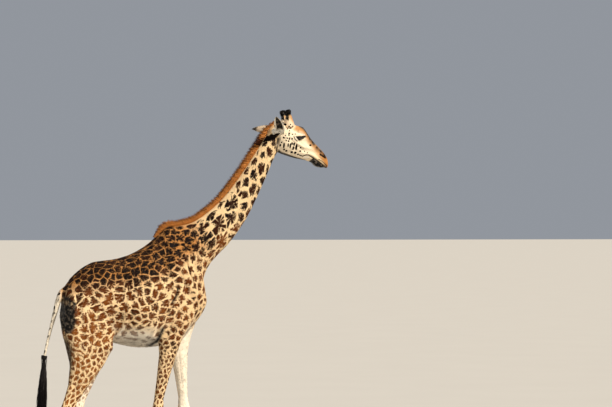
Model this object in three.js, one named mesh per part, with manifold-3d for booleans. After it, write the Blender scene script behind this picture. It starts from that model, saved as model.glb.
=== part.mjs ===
// A life-size standing Masai giraffe. Millimetres, +X towards the head, +Y to the animal's left, +Z up.
// The flesh is lofted through named anatomical sections, joined, and then parted into the
// pieces that a person would name. The hooves stand on the plane z = 0.
import * as THREE from "three";
import { mergeVertices } from "three/addons/utils/BufferGeometryUtils.js";
import Module from "manifold-3d";

const wasm = await Module();
wasm.setup();

// ---- Driving dimensions ----
const partingGap = 0.4; // width of the thin cuts between neighbouring pieces
const elbowHeight = 1670;
const kneeHeight = 960; // the carpus of the foreleg
const hockHeight = 930;
const fetlockHeight = 235;
const hoofHeight = 92;
const hoofGap = 7; // cleft between the two claws of a foot
const headLength = 703; // from the poll to the tip of the lips
const poll = new THREE.Vector2(851, 3770);
const headPitch = THREE.MathUtils.degToRad(36.4); // nose below the horizontal
const earWidth = 112; // at its broadest
const ossiconeLength = 172;
const eyeRadius = 26;
const maneWidth = 34; // at its foot
const tuftLength = 690;

// ---- Colours ----
const coatColour = 0xd9a866;
const maneColour = 0xb5662a;
const darkHairColour = 0x17120f;
const hoofColour = 0x3b3128;
const eyeColour = 0x120c09;

const coat = new THREE.MeshStandardMaterial({ color: coatColour, roughness: 0.85, metalness: 0 });
const maneHair = new THREE.MeshStandardMaterial({ color: maneColour, roughness: 0.9, metalness: 0 });
const darkHair = new THREE.MeshStandardMaterial({ color: darkHairColour, roughness: 0.7, metalness: 0 });
const hoofHorn = new THREE.MeshStandardMaterial({ color: hoofColour, roughness: 0.6, metalness: 0 });
const wetEye = new THREE.MeshStandardMaterial({ color: eyeColour, roughness: 0.08, metalness: 0 });

// ---- Solids and lofts ----

// A closed three.js geometry as a solid that can be joined and cut.
function solidOf(geometry) {
  const bare = geometry.clone();
  bare.deleteAttribute("normal");
  bare.deleteAttribute("uv");
  const merged = mergeVertices(bare, 1e-3);
  return new wasm.Manifold(
    new wasm.Mesh({
      numProp: 3,
      vertProperties: merged.getAttribute("position").array,
      triVerts: new Uint32Array(merged.index.array),
    }),
  );
}

function geometryOf(solid) {
  const mesh = solid.getMesh();
  const geometry = new THREE.BufferGeometry();
  geometry.setAttribute("position", new THREE.BufferAttribute(mesh.vertProperties, 3));
  geometry.setIndex(new THREE.BufferAttribute(mesh.triVerts, 1));
  geometry.computeVertexNormals();
  return geometry;
}

// A tube through rings of points, closed at both ends by a fan round each end's middle.
function tubeOf(rings) {
  const sides = rings[0].length;
  const positions = [];
  const triangles = [];
  rings.flat().forEach((p) => positions.push(p.x, p.y, p.z));
  for (let i = 0; i + 1 < rings.length; i++) {
    for (let k = 0; k < sides; k++) {
      const a = i * sides + k;
      const b = i * sides + ((k + 1) % sides);
      triangles.push(a, b, a + sides, b, b + sides, a + sides);
    }
  }
  [0, rings.length - 1].forEach((i) => {
    const middle = new THREE.Vector3();
    rings[i].forEach((p) => middle.addScaledVector(p, 1 / sides));
    const centre = positions.length / 3;
    positions.push(middle.x, middle.y, middle.z);
    for (let k = 0; k < sides; k++) {
      const a = i * sides + k;
      const b = i * sides + ((k + 1) % sides);
      if (i === 0) triangles.push(centre, b, a);
      else triangles.push(centre, a, b);
    }
  });
  const geometry = new THREE.BufferGeometry();
  geometry.setAttribute("position", new THREE.BufferAttribute(new Float32Array(positions), 3));
  geometry.setIndex(triangles);
  const solid = solidOf(geometry);
  if (solid.volume() > 0) return solid;
  geometry.setIndex(triangles.map((_, j) => triangles[3 * Math.floor(j / 3) + (2 - (j % 3))]));
  return solidOf(geometry);
}

const power = (x, p) => Math.sign(x) * Math.abs(x) ** p;

// Rings of an egg-shaped section. A station gives the section's two ends in the XZ plane, its half
// width, the level of its widest place (0 at b, 1 at a), and how square it is (2 is an ellipse).
function sectionRings(stations, { perSpan, sides, middleY = 0, grow = 0 }) {
  const edge = (end) => stations.map((s) => new THREE.Vector3(s[end][0], s.y ?? middleY, s[end][1]));
  const a = new THREE.CatmullRomCurve3(edge("a"));
  const b = new THREE.CatmullRomCurve3(edge("b"));
  const form = new THREE.CatmullRomCurve3(
    stations.map((s) => new THREE.Vector3(s.wide, (s.level ?? 0.5) * 1000, (s.square ?? 2) * 1000)),
  );
  const count = (stations.length - 1) * perSpan;
  return Array.from({ length: count + 1 }, (_, i) => {
    const t = i / count;
    const top = a.getPoint(t);
    const bottom = b.getPoint(t);
    const shape = form.getPoint(t);
    const along = top.clone().sub(bottom);
    const reach = along.length();
    along.normalize();
    const below = (reach * shape.y) / 1000 + grow;
    const above = reach * (1 - shape.y / 1000) + grow;
    const middle = bottom.clone().addScaledVector(along, (reach * shape.y) / 1000);
    if (i === 0) middle.addScaledVector(a.getTangent(0), -grow);
    if (i === count) middle.addScaledVector(a.getTangent(1), grow);
    const p = 2000 / shape.z;
    return Array.from({ length: sides }, (_, k) => {
      const angle = (2 * Math.PI * (k + 0.5)) / sides;
      const up = power(Math.sin(angle), p);
      const side = power(Math.cos(angle), p);
      return middle
        .clone()
        .addScaledVector(along, up * (up > 0 ? above : below))
        .add(new THREE.Vector3(0, side * (shape.x + grow), 0));
    });
  });
}

const loft = (stations, options) => tubeOf(sectionRings(stations, options));

function box(low, high, matrix = new THREE.Matrix4()) {
  const size = high.map((h, i) => h - low[i]);
  const geometry = new THREE.BoxGeometry(...size);
  geometry.translate(...low.map((l, i) => l + size[i] / 2));
  geometry.applyMatrix4(matrix);
  return solidOf(geometry);
}

// ---- Trunk and neck: one loft from the buttocks to the poll ----
// a is the line of the back and nape, b that of the belly, brisket and throat. mane is the height
// of the mane over that place.
const spineStations = [
  { name: "buttock", a: [-1262, 2130], b: [-1262, 1900], wide: 110 },
  { name: "tail root", a: [-1236, 2205], b: [-1225, 1800], wide: 168, level: 0.42 },
  { name: "croup", a: [-1130, 2324], b: [-1110, 1700], wide: 222, level: 0.5 },
  { name: "hip", a: [-975, 2419], b: [-950, 1655], wide: 255, level: 0.52, square: 2.15 },
  { name: "loin", a: [-790, 2442], b: [-770, 1632], wide: 285, level: 0.5, square: 2.1 },
  { name: "last rib", a: [-610, 2488], b: [-590, 1592], wide: 312, level: 0.47, square: 2.1 },
  { name: "mid rib", a: [-455, 2572], b: [-420, 1584], wide: 305, level: 0.45, square: 2.1 },
  { name: "shoulder blade", a: [-348, 2660], b: [-235, 1612], wide: 276, level: 0.42, mane: 8 },
  { name: "withers", a: [-272, 2738], b: [-70, 1690], wide: 250, level: 0.42, mane: 52 },
  { name: "brisket", a: [-236, 2762], b: [84, 1845], wide: 224, level: 0.42, mane: 54 },
  { name: "point of shoulder", a: [-205, 2772], b: [172, 2010], wide: 200, level: 0.42, mane: 50 },
  { name: "neck base", a: [-127, 2776], b: [135, 2240], wide: 172, level: 0.45, mane: 52 },
  { name: "low neck", a: [5, 2804], b: [222, 2416], wide: 146, level: 0.46, mane: 62 },
  { name: "lower neck", a: [125, 2871], b: [385, 2578], wide: 124, level: 0.47, mane: 60 },
  { name: "mid neck", a: [311, 3026], b: [567, 2822], wide: 104, level: 0.48, mane: 60 },
  { name: "upper neck", a: [478, 3228], b: [692, 3062], wide: 90, level: 0.48, mane: 67 },
  { name: "high neck", a: [611, 3419], b: [798, 3294], wide: 80, level: 0.48, mane: 68 },
  { name: "throat", a: [708, 3566], b: [868, 3452], wide: 76, level: 0.48, mane: 70 },
  { name: "nape", a: [790, 3690], b: [936, 3560], wide: 74, mane: 68 },
  { name: "behind the skull", a: [842, 3750], b: [985, 3640], wide: 62, mane: 50 },
];

// ---- Head: sections at a distance s along the axis from the poll, with heights off that axis ----
const headAxis = new THREE.Vector2(Math.cos(headPitch), -Math.sin(headPitch));
const headUp = new THREE.Vector2(Math.sin(headPitch), Math.cos(headPitch));

function headPoint(s, height) {
  const at = poll.clone().addScaledVector(headAxis, s).addScaledVector(headUp, height);
  return [at.x, at.y];
}

const headSections = [
  { name: "occiput", s: -14, top: -20, bottom: -94, wide: 50 },
  { name: "poll", s: 10, top: 26, bottom: -130, wide: 76 },
  { name: "ear base", s: 62, top: 84, bottom: -168, wide: 88, level: 0.62 },
  { name: "ossicones", s: 128, top: 118, bottom: -188, wide: 96, level: 0.66 },
  { name: "jaw angle", s: 202, top: 143, bottom: -192, wide: 101, level: 0.68 },
  { name: "brow", s: 264, top: 162, bottom: -174, wide: 106, level: 0.67 },
  { name: "eye", s: 322, top: 149, bottom: -154, wide: 98, level: 0.66 },
  { name: "cheek", s: 388, top: 127, bottom: -127, wide: 80, level: 0.58 },
  { name: "nose bridge", s: 462, top: 113, bottom: -90, wide: 65, level: 0.53 },
  { name: "mouth corner", s: 532, top: 102, bottom: -66, wide: 59, level: 0.5, square: 2.1 },
  { name: "nostril", s: 594, top: 90, bottom: -70, wide: 60, level: 0.5, square: 2.15 },
  { name: "upper lip", s: 642, top: 69, bottom: -50, wide: 53, level: 0.48, square: 2.15 },
  { name: "lip tip", s: 677, top: 40, bottom: -24, wide: 38 },
  { name: "lip end", s: 699, top: 6, bottom: -13, wide: 16 },
];

const headStations = headSections.map((c) => ({
  ...c,
  a: headPoint(c.s, c.top),
  b: headPoint(c.s, c.bottom),
}));

// ---- Legs: level sections at a height z, from the front edge to the back edge ----
const foreSections = [
  { name: "shoulder", z: 2130, front: -20, back: -210, wide: 60, out: 100 },
  { name: "upper arm", z: 1985, front: 62, back: -262, wide: 92, out: 126 },
  { name: "arm", z: 1830, front: 22, back: -298, wide: 98, out: 142 },
  { name: "elbow", z: elbowHeight, front: -62, back: -312, wide: 86, out: 150 },
  { name: "forearm top", z: 1530, front: -96, back: -280, wide: 72, out: 152 },
  { name: "forearm", z: 1300, front: -116, back: -248, wide: 55, out: 150 },
  { name: "forearm low", z: 1090, front: -126, back: -226, wide: 46, out: 147 },
  { name: "knee", z: kneeHeight, front: -104, back: -232, wide: 57, out: 145 },
  { name: "below knee", z: 850, front: -120, back: -214, wide: 43, out: 144 },
  { name: "cannon", z: 600, front: -128, back: -208, wide: 34, out: 142 },
  { name: "cannon low", z: 350, front: -126, back: -206, wide: 35, out: 141 },
  { name: "fetlock", z: fetlockHeight, front: -106, back: -216, wide: 46, out: 140 },
  { name: "pastern", z: 155, front: -80, back: -182, wide: 44, out: 140 },
  { name: "coronet", z: hoofHeight - 8, front: -52, back: -178, wide: 60, out: 140 },
];

const hindSections = [
  { name: "hip", z: 2230, front: -960, back: -1130, wide: 60, out: 120 },
  { name: "thigh top", z: 2080, front: -850, back: -1255, wide: 92, out: 152 },
  { name: "thigh", z: 1900, front: -806, back: -1288, wide: 104, out: 164 },
  { name: "low thigh", z: 1730, front: -782, back: -1272, wide: 104, out: 168 },
  { name: "stifle", z: 1580, front: -792, back: -1238, wide: 92, out: 170 },
  { name: "leg top", z: 1420, front: -872, back: -1214, wide: 75, out: 168 },
  { name: "leg", z: 1240, front: -992, back: -1212, wide: 56, out: 164 },
  { name: "above hock", z: 1070, front: -1100, back: -1244, wide: 44, out: 160 },
  { name: "hock", z: hockHeight, front: -1142, back: -1292, wide: 50, out: 158 },
  { name: "below hock", z: 800, front: -1150, back: -1262, wide: 39, out: 156 },
  { name: "hind cannon", z: 570, front: -1152, back: -1234, wide: 33, out: 154 },
  { name: "hind cannon low", z: 340, front: -1148, back: -1230, wide: 34, out: 152 },
  { name: "hind fetlock", z: fetlockHeight, front: -1128, back: -1240, wide: 44, out: 151 },
  { name: "hind pastern", z: 155, front: -1100, back: -1200, wide: 42, out: 150 },
  { name: "hind coronet", z: hoofHeight - 8, front: -1074, back: -1194, wide: 57, out: 150 },
];

// How far each joint is carried forwards from the square stance: heights and shifts.
const strides = {
  fore_right: { 2130: 0, 1670: -46, 960: -190, 235: -262, 0: -262 },
  fore_left: { 2130: 24, 1670: 114, 960: 152, 235: 166, 0: 166 },
  hind_right: { 2230: 0, 1580: -14, 930: -62, 235: -96, 0: -96 },
  hind_left: { 2230: 0, 1580: 34, 930: 110, 235: 142, 0: 142 },
};

function strideAt(stride, z) {
  const heights = Object.keys(stride).map(Number).sort((p, q) => p - q);
  const upper = heights.findIndex((h) => h >= z);
  if (upper <= 0) return stride[heights[Math.max(upper, 0)]];
  const share = (z - heights[upper - 1]) / (heights[upper] - heights[upper - 1]);
  const ease = share * share * (3 - 2 * share);
  return THREE.MathUtils.lerp(stride[heights[upper - 1]], stride[heights[upper]], (share + ease) / 2);
}

function legStations(sections, leg) {
  const side = leg.endsWith("left") ? 1 : -1;
  return sections.map((c) => {
    const shift = strideAt(strides[leg], c.z);
    return { a: [c.front + shift, c.z], b: [c.back + shift, c.z], wide: c.wide, y: side * c.out };
  });
}

const legNames = ["fore_right", "fore_left", "hind_right", "hind_left"];
const sectionsOf = (leg) => (leg.startsWith("fore") ? foreSections : hindSections);

// ---- Tail: a round tube that hangs clear of the thighs ----
const tailPoints = [
  [-1176, 2168, 50], [-1236, 2148, 47], [-1284, 2097, 37], [-1316, 2020, 29], [-1338, 1935, 25],
  [-1362, 1850, 20], [-1394, 1730, 16], [-1424, 1605, 14], [-1450, 1490, 13],
];

function tailRings(points, grow, sides, perSpan) {
  const line = new THREE.CatmullRomCurve3(points.map(([x, z]) => new THREE.Vector3(x, 0, z)));
  const radii = new THREE.CatmullRomCurve3(points.map(([, , r], i) => new THREE.Vector3(i * 100, r, 0)));
  const count = (points.length - 1) * perSpan;
  return Array.from({ length: count + 1 }, (_, i) => {
    const t = i / count;
    const at = line.getPoint(t);
    const ahead = line.getTangent(t);
    const side = new THREE.Vector3(0, 1, 0);
    const up = new THREE.Vector3().crossVectors(ahead, side).normalize();
    const radius = radii.getPoint(t).y + grow;
    return Array.from({ length: sides }, (_, k) => {
      const angle = (2 * Math.PI * k) / sides;
      return at.clone()
        .addScaledVector(side, Math.cos(angle) * radius)
        .addScaledVector(up, Math.sin(angle) * radius);
    });
  });
}

// All the flesh as one solid, swollen by grow, with what it takes to cut the loose pieces clear of it.
function flesh(grow) {
  const lofts = [
    loft(spineStations, { perSpan: 2, sides: 18, grow }),
    loft(headStations, { perSpan: 2, sides: 18, grow }),
    ...legNames.map((leg) => loft(legStations(sectionsOf(leg), leg), { perSpan: 1, sides: 12, grow })),
    tubeOf(tailRings(tailPoints, grow, 8, 2)),
  ];
  return lofts.reduce((sum, next) => sum.add(next));
}

let body = flesh(0);
const bodyClear = flesh(partingGap);

// ---- Eyes, and the sockets that hold them ----
const eyeAt = (side) => {
  const [x, z] = headPoint(281, 48);
  return new THREE.Vector3(x, side * 90, z);
};

function eyeBall(side, grow) {
  const ball = new THREE.SphereGeometry(eyeRadius + grow, 14, 8);
  ball.rotateX(Math.PI / 2);
  ball.translate(...eyeAt(side));
  return solidOf(ball);
}

[1, -1].forEach((side) => {
  body = body.subtract(eyeBall(side, partingGap));
});

// ---- Ossicones: skin-covered horns with a knobbed, tufted top ----
function ossicone(side) {
  const [baseX, baseZ] = headPoint(124, 84);
  const [tipX, tipZ] = headPoint(12, 203);
  const base = new THREE.Vector3(baseX, side * 50, baseZ);
  const tip = new THREE.Vector3(tipX, side * 103, tipZ);
  const outline = [
    [0, 0], [60, 0], [50, 34], [38, 68], [31, 100], [30, 120], [33, 140], [31, 157],
    [19, ossiconeLength - 3], [0, ossiconeLength],
  ];
  const horn = new THREE.LatheGeometry(outline.map(([r, h]) => new THREE.Vector2(r, h)), 14);
  const along = tip.clone().sub(base).normalize();
  horn.applyQuaternion(new THREE.Quaternion().setFromUnitVectors(new THREE.Vector3(0, 1, 0), along));
  horn.translate(...base);
  return solidOf(horn).subtract(bodyClear);
}

// ---- Ears: cupped leaves on a narrow foot, the right one raised, the left one held back ----
const earPoses = {
  left: { side: 1, foot: [86, -14], tip: [700, 222, 3736], hollow: [0.45, 0.6, -0.6] },
  right: { side: -1, foot: [102, -44], tip: [812, -250, 3838], hollow: [-0.42, -0.47, -0.77] },
};

function ear({ side, foot, tip, hollow }) {
  const [baseX, baseZ] = headPoint(...foot);
  const base = new THREE.Vector3(baseX, side * 64, baseZ);
  const along = new THREE.Vector3(...tip).sub(base);
  const reach = along.length();
  along.normalize();
  const open = new THREE.Vector3(...hollow); // the way the open side looks
  open.addScaledVector(along, -open.dot(along)).normalize();
  const across = new THREE.Vector3().crossVectors(along, open).normalize();
  const steps = 13;
  const rings = Array.from({ length: steps + 1 }, (_, i) => {
    const t = i / steps;
    const half = 4 + (earWidth / 2 - 4) * Math.sin(Math.PI * (0.17 + 0.83 * t) ** 0.9) ** 0.75;
    const cup = 34 * (1 - t) ** 0.6;
    const thick = 7 - 3 * t + 15 * (1 - t) ** 5;
    const at = base.clone().addScaledVector(along, reach * t);
    at.addScaledVector(open, -14 * Math.sin(Math.PI * t));
    return Array.from({ length: 12 }, (_, k) => {
      const angle = (2 * Math.PI * k) / 12;
      const depth = thick * Math.sin(angle) - cup * Math.sin(angle) ** 2;
      return at.clone().addScaledVector(across, half * Math.cos(angle)).addScaledVector(open, depth);
    });
  });
  return tubeOf(rings).subtract(bodyClear);
}

// ---- Mane: an upright ridge of stiff hair from between the ears to behind the withers ----
function mane() {
  const places = spineStations.filter((s) => s.mane).map((s) => [...s.a, s.mane]);
  places.push([...headPoint(12, 28), 26], [...headPoint(52, 76), 12]);
  const root = new THREE.CatmullRomCurve3(places.map(([x, z]) => new THREE.Vector3(x, 0, z)));
  const height = new THREE.CatmullRomCurve3(places.map((p, i) => new THREE.Vector3(i * 100, p[2], 0)));
  const count = places.length - 1;
  const foot = maneWidth / 2;
  const rings = Array.from({ length: count + 1 }, (_, i) => {
    const t = i / count;
    const at = root.getPoint(t);
    const ahead = root.getTangent(t);
    const up = new THREE.Vector3(-ahead.z, 0, ahead.x);
    const rise = height.getPoint(t).y;
    const half = [[foot, -24], [0.9 * foot, 0.35 * rise], [0.34 * foot, rise]];
    const section = [...half, ...half.map(([y, h]) => [-y, h]).reverse()];
    return section.map(([y, h]) => at.clone().addScaledVector(up, h).add(new THREE.Vector3(0, y, 0)));
  });
  return tubeOf(rings).subtract(bodyClear);
}

// ---- Tail tuft: the long dark hair at the tail's end ----
function tailTuft() {
  const top = tailPoints[tailPoints.length - 1];
  const radii = [21, 38, 52, 56, 50, 36, 12];
  const points = radii.map((r, i) => {
    const share = i / (radii.length - 1);
    return [top[0] + 6 - 34 * share, top[1] + 42 - tuftLength * share, r];
  });
  return tubeOf(tailRings(points, 0, 10, 2)).subtract(tubeOf(tailRings(tailPoints, partingGap, 8, 2)));
}

// ---- Hooves: two claws to a foot, flat below, with rounded toes ----
function claw(leg, inner) {
  const side = leg.endsWith("left") ? 1 : -1;
  const coronet = sectionsOf(leg).at(-1);
  const shift = strideAt(strides[leg], 0);
  const front = coronet.front + shift;
  const back = coronet.back + shift;
  const levels = [
    { z: 0, front: front + 74, back: back - 14, wide: 39 },
    { z: 12, front: front + 74, back: back - 17, wide: 40 },
    { z: 50, front: front + 38, back: back - 12, wide: 38 },
    { z: hoofHeight - partingGap, front: front + 3, back: back - 3, wide: 32 },
  ];
  const y = side * (coronet.out + (inner ? -1 : 1) * (39 + hoofGap / 2));
  const stations = levels.map(
    (l) => ({ a: [l.front, l.z], b: [l.back, l.z], wide: l.wide, level: 0.42, square: 2.3 }),
  );
  const whole = loft(stations, { perSpan: 1, sides: 12, middleY: y });
  const split = coronet.out * side;
  const inward = inner ? -side : side;
  const nearFace = split + (inward * hoofGap) / 2;
  const keep = inward > 0 ? [nearFace, nearFace + 200] : [nearFace - 200, nearFace];
  return whole.intersect(box([back - 100, keep[0], 0], [front + 200, keep[1], hoofHeight - partingGap]));
}

// ---- Parting the flesh ----
const giraffe = new THREE.Group();

function add(name, solid, material) {
  const mesh = new THREE.Mesh(geometryOf(solid), material);
  mesh.name = name;
  giraffe.add(mesh);
}

// Takes the part of the body that lies in a region, and leaves the rest with a thin gap round it.
function takeOut(low, high, matrix) {
  const piece = body.intersect(box(low, high, matrix));
  const wider = [low.map((v) => v - partingGap), high.map((v) => v + partingGap)];
  body = body.subtract(box(...wider, matrix));
  return piece;
}

// A leg is parted inside the body by an upright plane beside the midline and by a slanting slab that
// follows the leg's own front and back; below the belly the whole limb is taken.
const legCuts = {
  fore: { inner: 62, top: 1800, belly: 1560, upper: "arm", lower: "forearm top" },
  hind: { inner: 52, top: 1850, belly: 1600, upper: "thigh", lower: "stifle" },
};
const legCutMargin = 30; // ahead of the leg's front edge and behind its back edge

function legCutter(leg, grow) {
  const { inner, top, belly, upper, lower } = legCuts[leg.slice(0, 4)];
  const side = leg.endsWith("left") ? 1 : -1;
  const reach = [side * (inner - grow), side * 500].sort((p, q) => p - q);
  const edges = [upper, lower].flatMap((name) => {
    const c = sectionsOf(leg).find((section) => section.name === name);
    const shift = strideAt(strides[leg], c.z);
    return [
      [c.front + shift + legCutMargin + grow, c.z],
      [c.back + shift - legCutMargin - grow, c.z],
    ];
  });
  const slab = wasm.Manifold.hull(edges.flatMap(([x, z]) => reach.map((y) => [x, y, z])));
  const belowTop = box([-2000, reach[0], -50], [600, reach[1], top + grow]);
  return slab.intersect(belowTop).add(box([-2000, reach[0], -50], [600, reach[1], belly + grow]));
}

body = body.subtract(box([-2000, -600, -60], [600, 600, hoofHeight])); // the claws stand below the coronets
const limbs = legNames.map((leg) => {
  const fore = leg.startsWith("fore");
  const own = box(fore ? [-700, -500, -50] : [-2000, -500, -50], fore ? [600, 500, 2000] : [-700, 500, 2000]);
  return body.intersect(legCutter(leg, 0)).intersect(own);
});
body = legNames.reduce((rest, leg) => rest.subtract(legCutter(leg, partingGap)), body);
legNames.forEach((leg, i) => {
  const split = leg.startsWith("fore") ? kneeHeight - 70 : hockHeight - 90;
  const upper = limbs[i].subtract(box([-2000, -600, -100], [900, 600, split + partingGap]));
  const lower = limbs[i].intersect(box([-2000, -600, -100], [900, 600, split]));
  add(`leg_${leg}_upper`, upper, coat);
  add(`leg_${leg}_lower`, lower, coat);
  add(`claw_${leg}_inner`, claw(leg, true), hoofHorn);
  add(`claw_${leg}_outer`, claw(leg, false), hoofHorn);
});

// The tail leaves the rump just behind the buttocks.
add("tail", takeOut([-2000, -54, 1200], [-1294, 54, 2300]), coat);

// The head is parted from the neck behind the jaw, and the neck from the trunk ahead of the withers.
const headPlane = new THREE.Matrix4().makeRotationY(THREE.MathUtils.degToRad(14.5));
headPlane.setPosition(872, 0, 3620);
let head = takeOut([0, -400, -700], [1200, 400, 700], headPlane);
const neckPlane = new THREE.Matrix4().makeRotationY(THREE.MathUtils.degToRad(-21.5));
neckPlane.setPosition(-30, 0, 2500);
add("neck", takeOut([0, -500, -900], [1600, 500, 1400], neckPlane), coat);
add("trunk", body, coat);

// The lower jaw lies below the line of the mouth.
const mouthCorner = headPoint(455, -34);
const mouthLine = new THREE.Matrix4().makeRotationY(headPitch - Math.atan2(26, 246));
mouthLine.setPosition(mouthCorner[0], 0, mouthCorner[1]);
const jawSpace = [[-252, -200, -300], [400, 200, 0]];
const widerJaw = jawSpace.map((v, i) => v.map((n) => n + (i ? 1 : -1) * partingGap));
add("lower_jaw", head.intersect(box(...jawSpace, mouthLine)), coat);
head = head.subtract(box(...widerJaw, mouthLine));
add("head", head, coat);

add("mane", mane(), maneHair);
add("tail_tuft", tailTuft(), darkHair);
[["left", 1], ["right", -1]].forEach(([name, side]) => {
  add(`eye_${name}`, eyeBall(side, 0), wetEye);
  add(`ossicone_${name}`, ossicone(side), coat);
  add(`ear_${name}`, ear(earPoses[name]), coat);
});

// ---- The frame: the origin lies on the ground, below the middle of the whole animal ----
const bounds = new THREE.Box3().setFromObject(giraffe);
const middle = bounds.getCenter(new THREE.Vector3());
giraffe.children.forEach((mesh) => mesh.geometry.translate(-middle.x, -middle.y, 0));

export default giraffe;
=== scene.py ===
from types import SimpleNamespace
import bpy
import numpy as np
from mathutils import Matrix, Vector
from mathutils.kdtree import KDTree


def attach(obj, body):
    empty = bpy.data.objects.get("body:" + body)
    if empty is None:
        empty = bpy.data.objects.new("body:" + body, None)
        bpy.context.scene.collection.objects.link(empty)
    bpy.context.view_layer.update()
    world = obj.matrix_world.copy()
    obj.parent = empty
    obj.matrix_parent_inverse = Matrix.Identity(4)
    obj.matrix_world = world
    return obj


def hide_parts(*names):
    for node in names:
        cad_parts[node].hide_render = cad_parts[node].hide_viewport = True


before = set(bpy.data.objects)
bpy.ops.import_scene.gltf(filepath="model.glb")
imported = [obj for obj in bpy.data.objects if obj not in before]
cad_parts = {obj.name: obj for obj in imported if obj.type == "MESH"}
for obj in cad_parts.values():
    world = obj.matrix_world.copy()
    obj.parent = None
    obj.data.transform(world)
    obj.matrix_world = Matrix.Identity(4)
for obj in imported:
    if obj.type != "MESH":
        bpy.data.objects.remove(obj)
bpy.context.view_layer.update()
dice = np.random.default_rng(11)
print("frame loaded,", len(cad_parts), "nodes")


# Small helpers on objects and meshes
def pickOnly(*pieces):
    bpy.ops.object.select_all(action="DESELECT")
    for piece in pieces:
        piece.select_set(True)
    bpy.context.view_layer.objects.active = pieces[0]


def applyModifier(piece, kind, **settings):
    pickOnly(piece)
    modifier = piece.modifiers.new(kind.lower(), kind)
    for key, value in settings.items():
        setattr(modifier, key, value)
    bpy.ops.object.modifier_apply(modifier=modifier.name)


def onWholeMesh(operator, **settings):  # an edit-mode operator on all of the active piece
    bpy.ops.object.mode_set(mode="EDIT")
    bpy.ops.mesh.select_all(action="SELECT")
    operator(**settings)
    bpy.ops.object.mode_set(mode="OBJECT")


def floatsOf(items, name, width):
    flat = np.empty(len(items) * width, np.float32)
    items.foreach_get(name, flat)
    return flat.reshape(-1, width).astype(float)


def pointsOf(piece):
    return floatsOf(piece.data.vertices, "co", 3)


def normalsOf(piece):
    return floatsOf(piece.data.vertex_normals, "vector", 3)


def cornersOf(piece):  # corner points of a mesh of triangles
    flat = np.empty(len(piece.data.loops), np.int32)
    piece.data.loops.foreach_get("vertex_index", flat)
    return flat.reshape(-1, 3)


def setPoints(piece, points):
    piece.data.vertices.foreach_set("co", points.astype(np.float32).ravel())
    piece.data.update()


def setWeights(piece, name, weights):
    group = piece.vertex_groups.new(name=name)
    grades = 20
    steps = np.round(np.clip(weights, 0, 1) * grades).astype(int)
    for step in range(1, grades + 1):
        members = np.flatnonzero(steps == step)
        if len(members):
            group.add(members.tolist(), step / grades, "REPLACE")


def copyOfNodes(label, names):  # one loose mesh from copies of CAD nodes, merged by distance
    copies = []
    for name in names:
        copy = bpy.data.objects.new(label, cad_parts[name].data.copy())
        copy.data.materials.clear()
        bpy.context.scene.collection.objects.link(copy)
        copies.append(copy)
    pickOnly(*copies)
    if len(copies) > 1:
        bpy.ops.object.join()
    onWholeMesh(bpy.ops.mesh.remove_doubles, threshold=1e-5)
    return copies[0]


def refinedNodes(label, names, voxel, smoothing=0):  # a finely remeshed piece that stands for those nodes
    piece = copyOfNodes(label, names)
    applyModifier(piece, "REMESH", mode="VOXEL", voxel_size=voxel)
    if smoothing:
        applyModifier(piece, "SMOOTH", factor=0.5, iterations=smoothing)
    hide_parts(*names)
    return piece


def unwrap(piece, margin=0.003):
    pickOnly(piece)
    onWholeMesh(bpy.ops.uv.smart_project, angle_limit=1.15, island_margin=margin)
    piece.data.uv_layers[0].name = "OFBake"


def unit(vectors):
    return vectors / np.maximum(np.linalg.norm(vectors, axis=-1, keepdims=True), 1e-9)


def soft(value, low, high):  # 0 below low, 1 above high, smooth between
    share = np.clip((value - low) / (high - low), 0, 1)
    return share * share * (3 - 2 * share)


def rounded(corners, perSpan=6):  # a side-view line drawn smoothly through its corners
    corners = np.array(corners, float)
    ends = np.vstack([2 * corners[0] - corners[1], corners, 2 * corners[-1] - corners[-2]])
    places = []
    for i in range(1, len(ends) - 2):
        a, b, c, d = ends[i - 1:i + 3]
        for t in np.arange(perSpan) / perSpan:
            places.append(0.5 * (2 * b + (c - a) * t + (2 * a - 5 * b + 4 * c - d) * t ** 2
                                 + (3 * b - a - 3 * c + d) * t ** 3))
    return np.array([*places, corners[-1]])


def alongLine(places, line):  # run along the line, nearest point on it, distance from it, its heading
    line = np.array(line, float)
    if len(line) == 1:
        line = np.vstack([line, line + 1e-6])
    best = np.full(len(places), 1e9)
    run = np.zeros(len(places))
    near, heading = np.zeros_like(places), np.zeros_like(places)
    start = 0.0
    for a, b in zip(line[:-1], line[1:]):
        way = b - a
        length = np.linalg.norm(way)
        share = np.clip((places - a) @ way / length ** 2, 0, 1)
        point = a + share[:, None] * way
        gap = np.linalg.norm(places - point, axis=1)
        closer = gap < best
        best[closer] = gap[closer]
        run[closer] = start + share[closer] * length
        near[closer] = point[closer]
        heading[closer] = way / length
        start += length
    return run, near, best, heading


# Places on the animal: metres in the frame's side view (x forwards, z up)
headPoll = np.array([0.8988, 3.770])
headAxis = np.array([0.80489, -0.59342])
headUp = np.array([0.59342, 0.80489])
neckLine = rounded([(0.052, 2.508), (0.161, 2.610), (0.303, 2.724), (0.487, 2.924), (0.633, 3.145),
                    (0.752, 3.356), (0.836, 3.509), (0.911, 3.625)])
ears = {"left": {"foot": (0.9585, 0.064, 3.7082), "tip": (0.7478, 0.222, 3.736), "hollow": (0.45, 0.6, -0.6)},
        "right": {"foot": (0.9548, -0.064, 3.6741), "tip": (0.8598, -0.250, 3.838),
                  "hollow": (-0.42, -0.47, -0.77)}}
earBounds = {"reach": 0.075, "offMiddle": 0.07, "halfWidth": 0.056}
headRear = ([-0.22, -0.156, -0.098, 0.0, 0.1], [0.205, 0.165, 0.110, 0.050, 0.030])  # s against h


def headAt(s, h):  # s along the head from the poll, h off its axis
    return headPoll + s * headAxis + h * headUp


def headPlaces(points):
    side = points[:, [0, 2]] - headPoll
    return np.stack([side @ headAxis, side @ headUp], 1)


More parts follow.
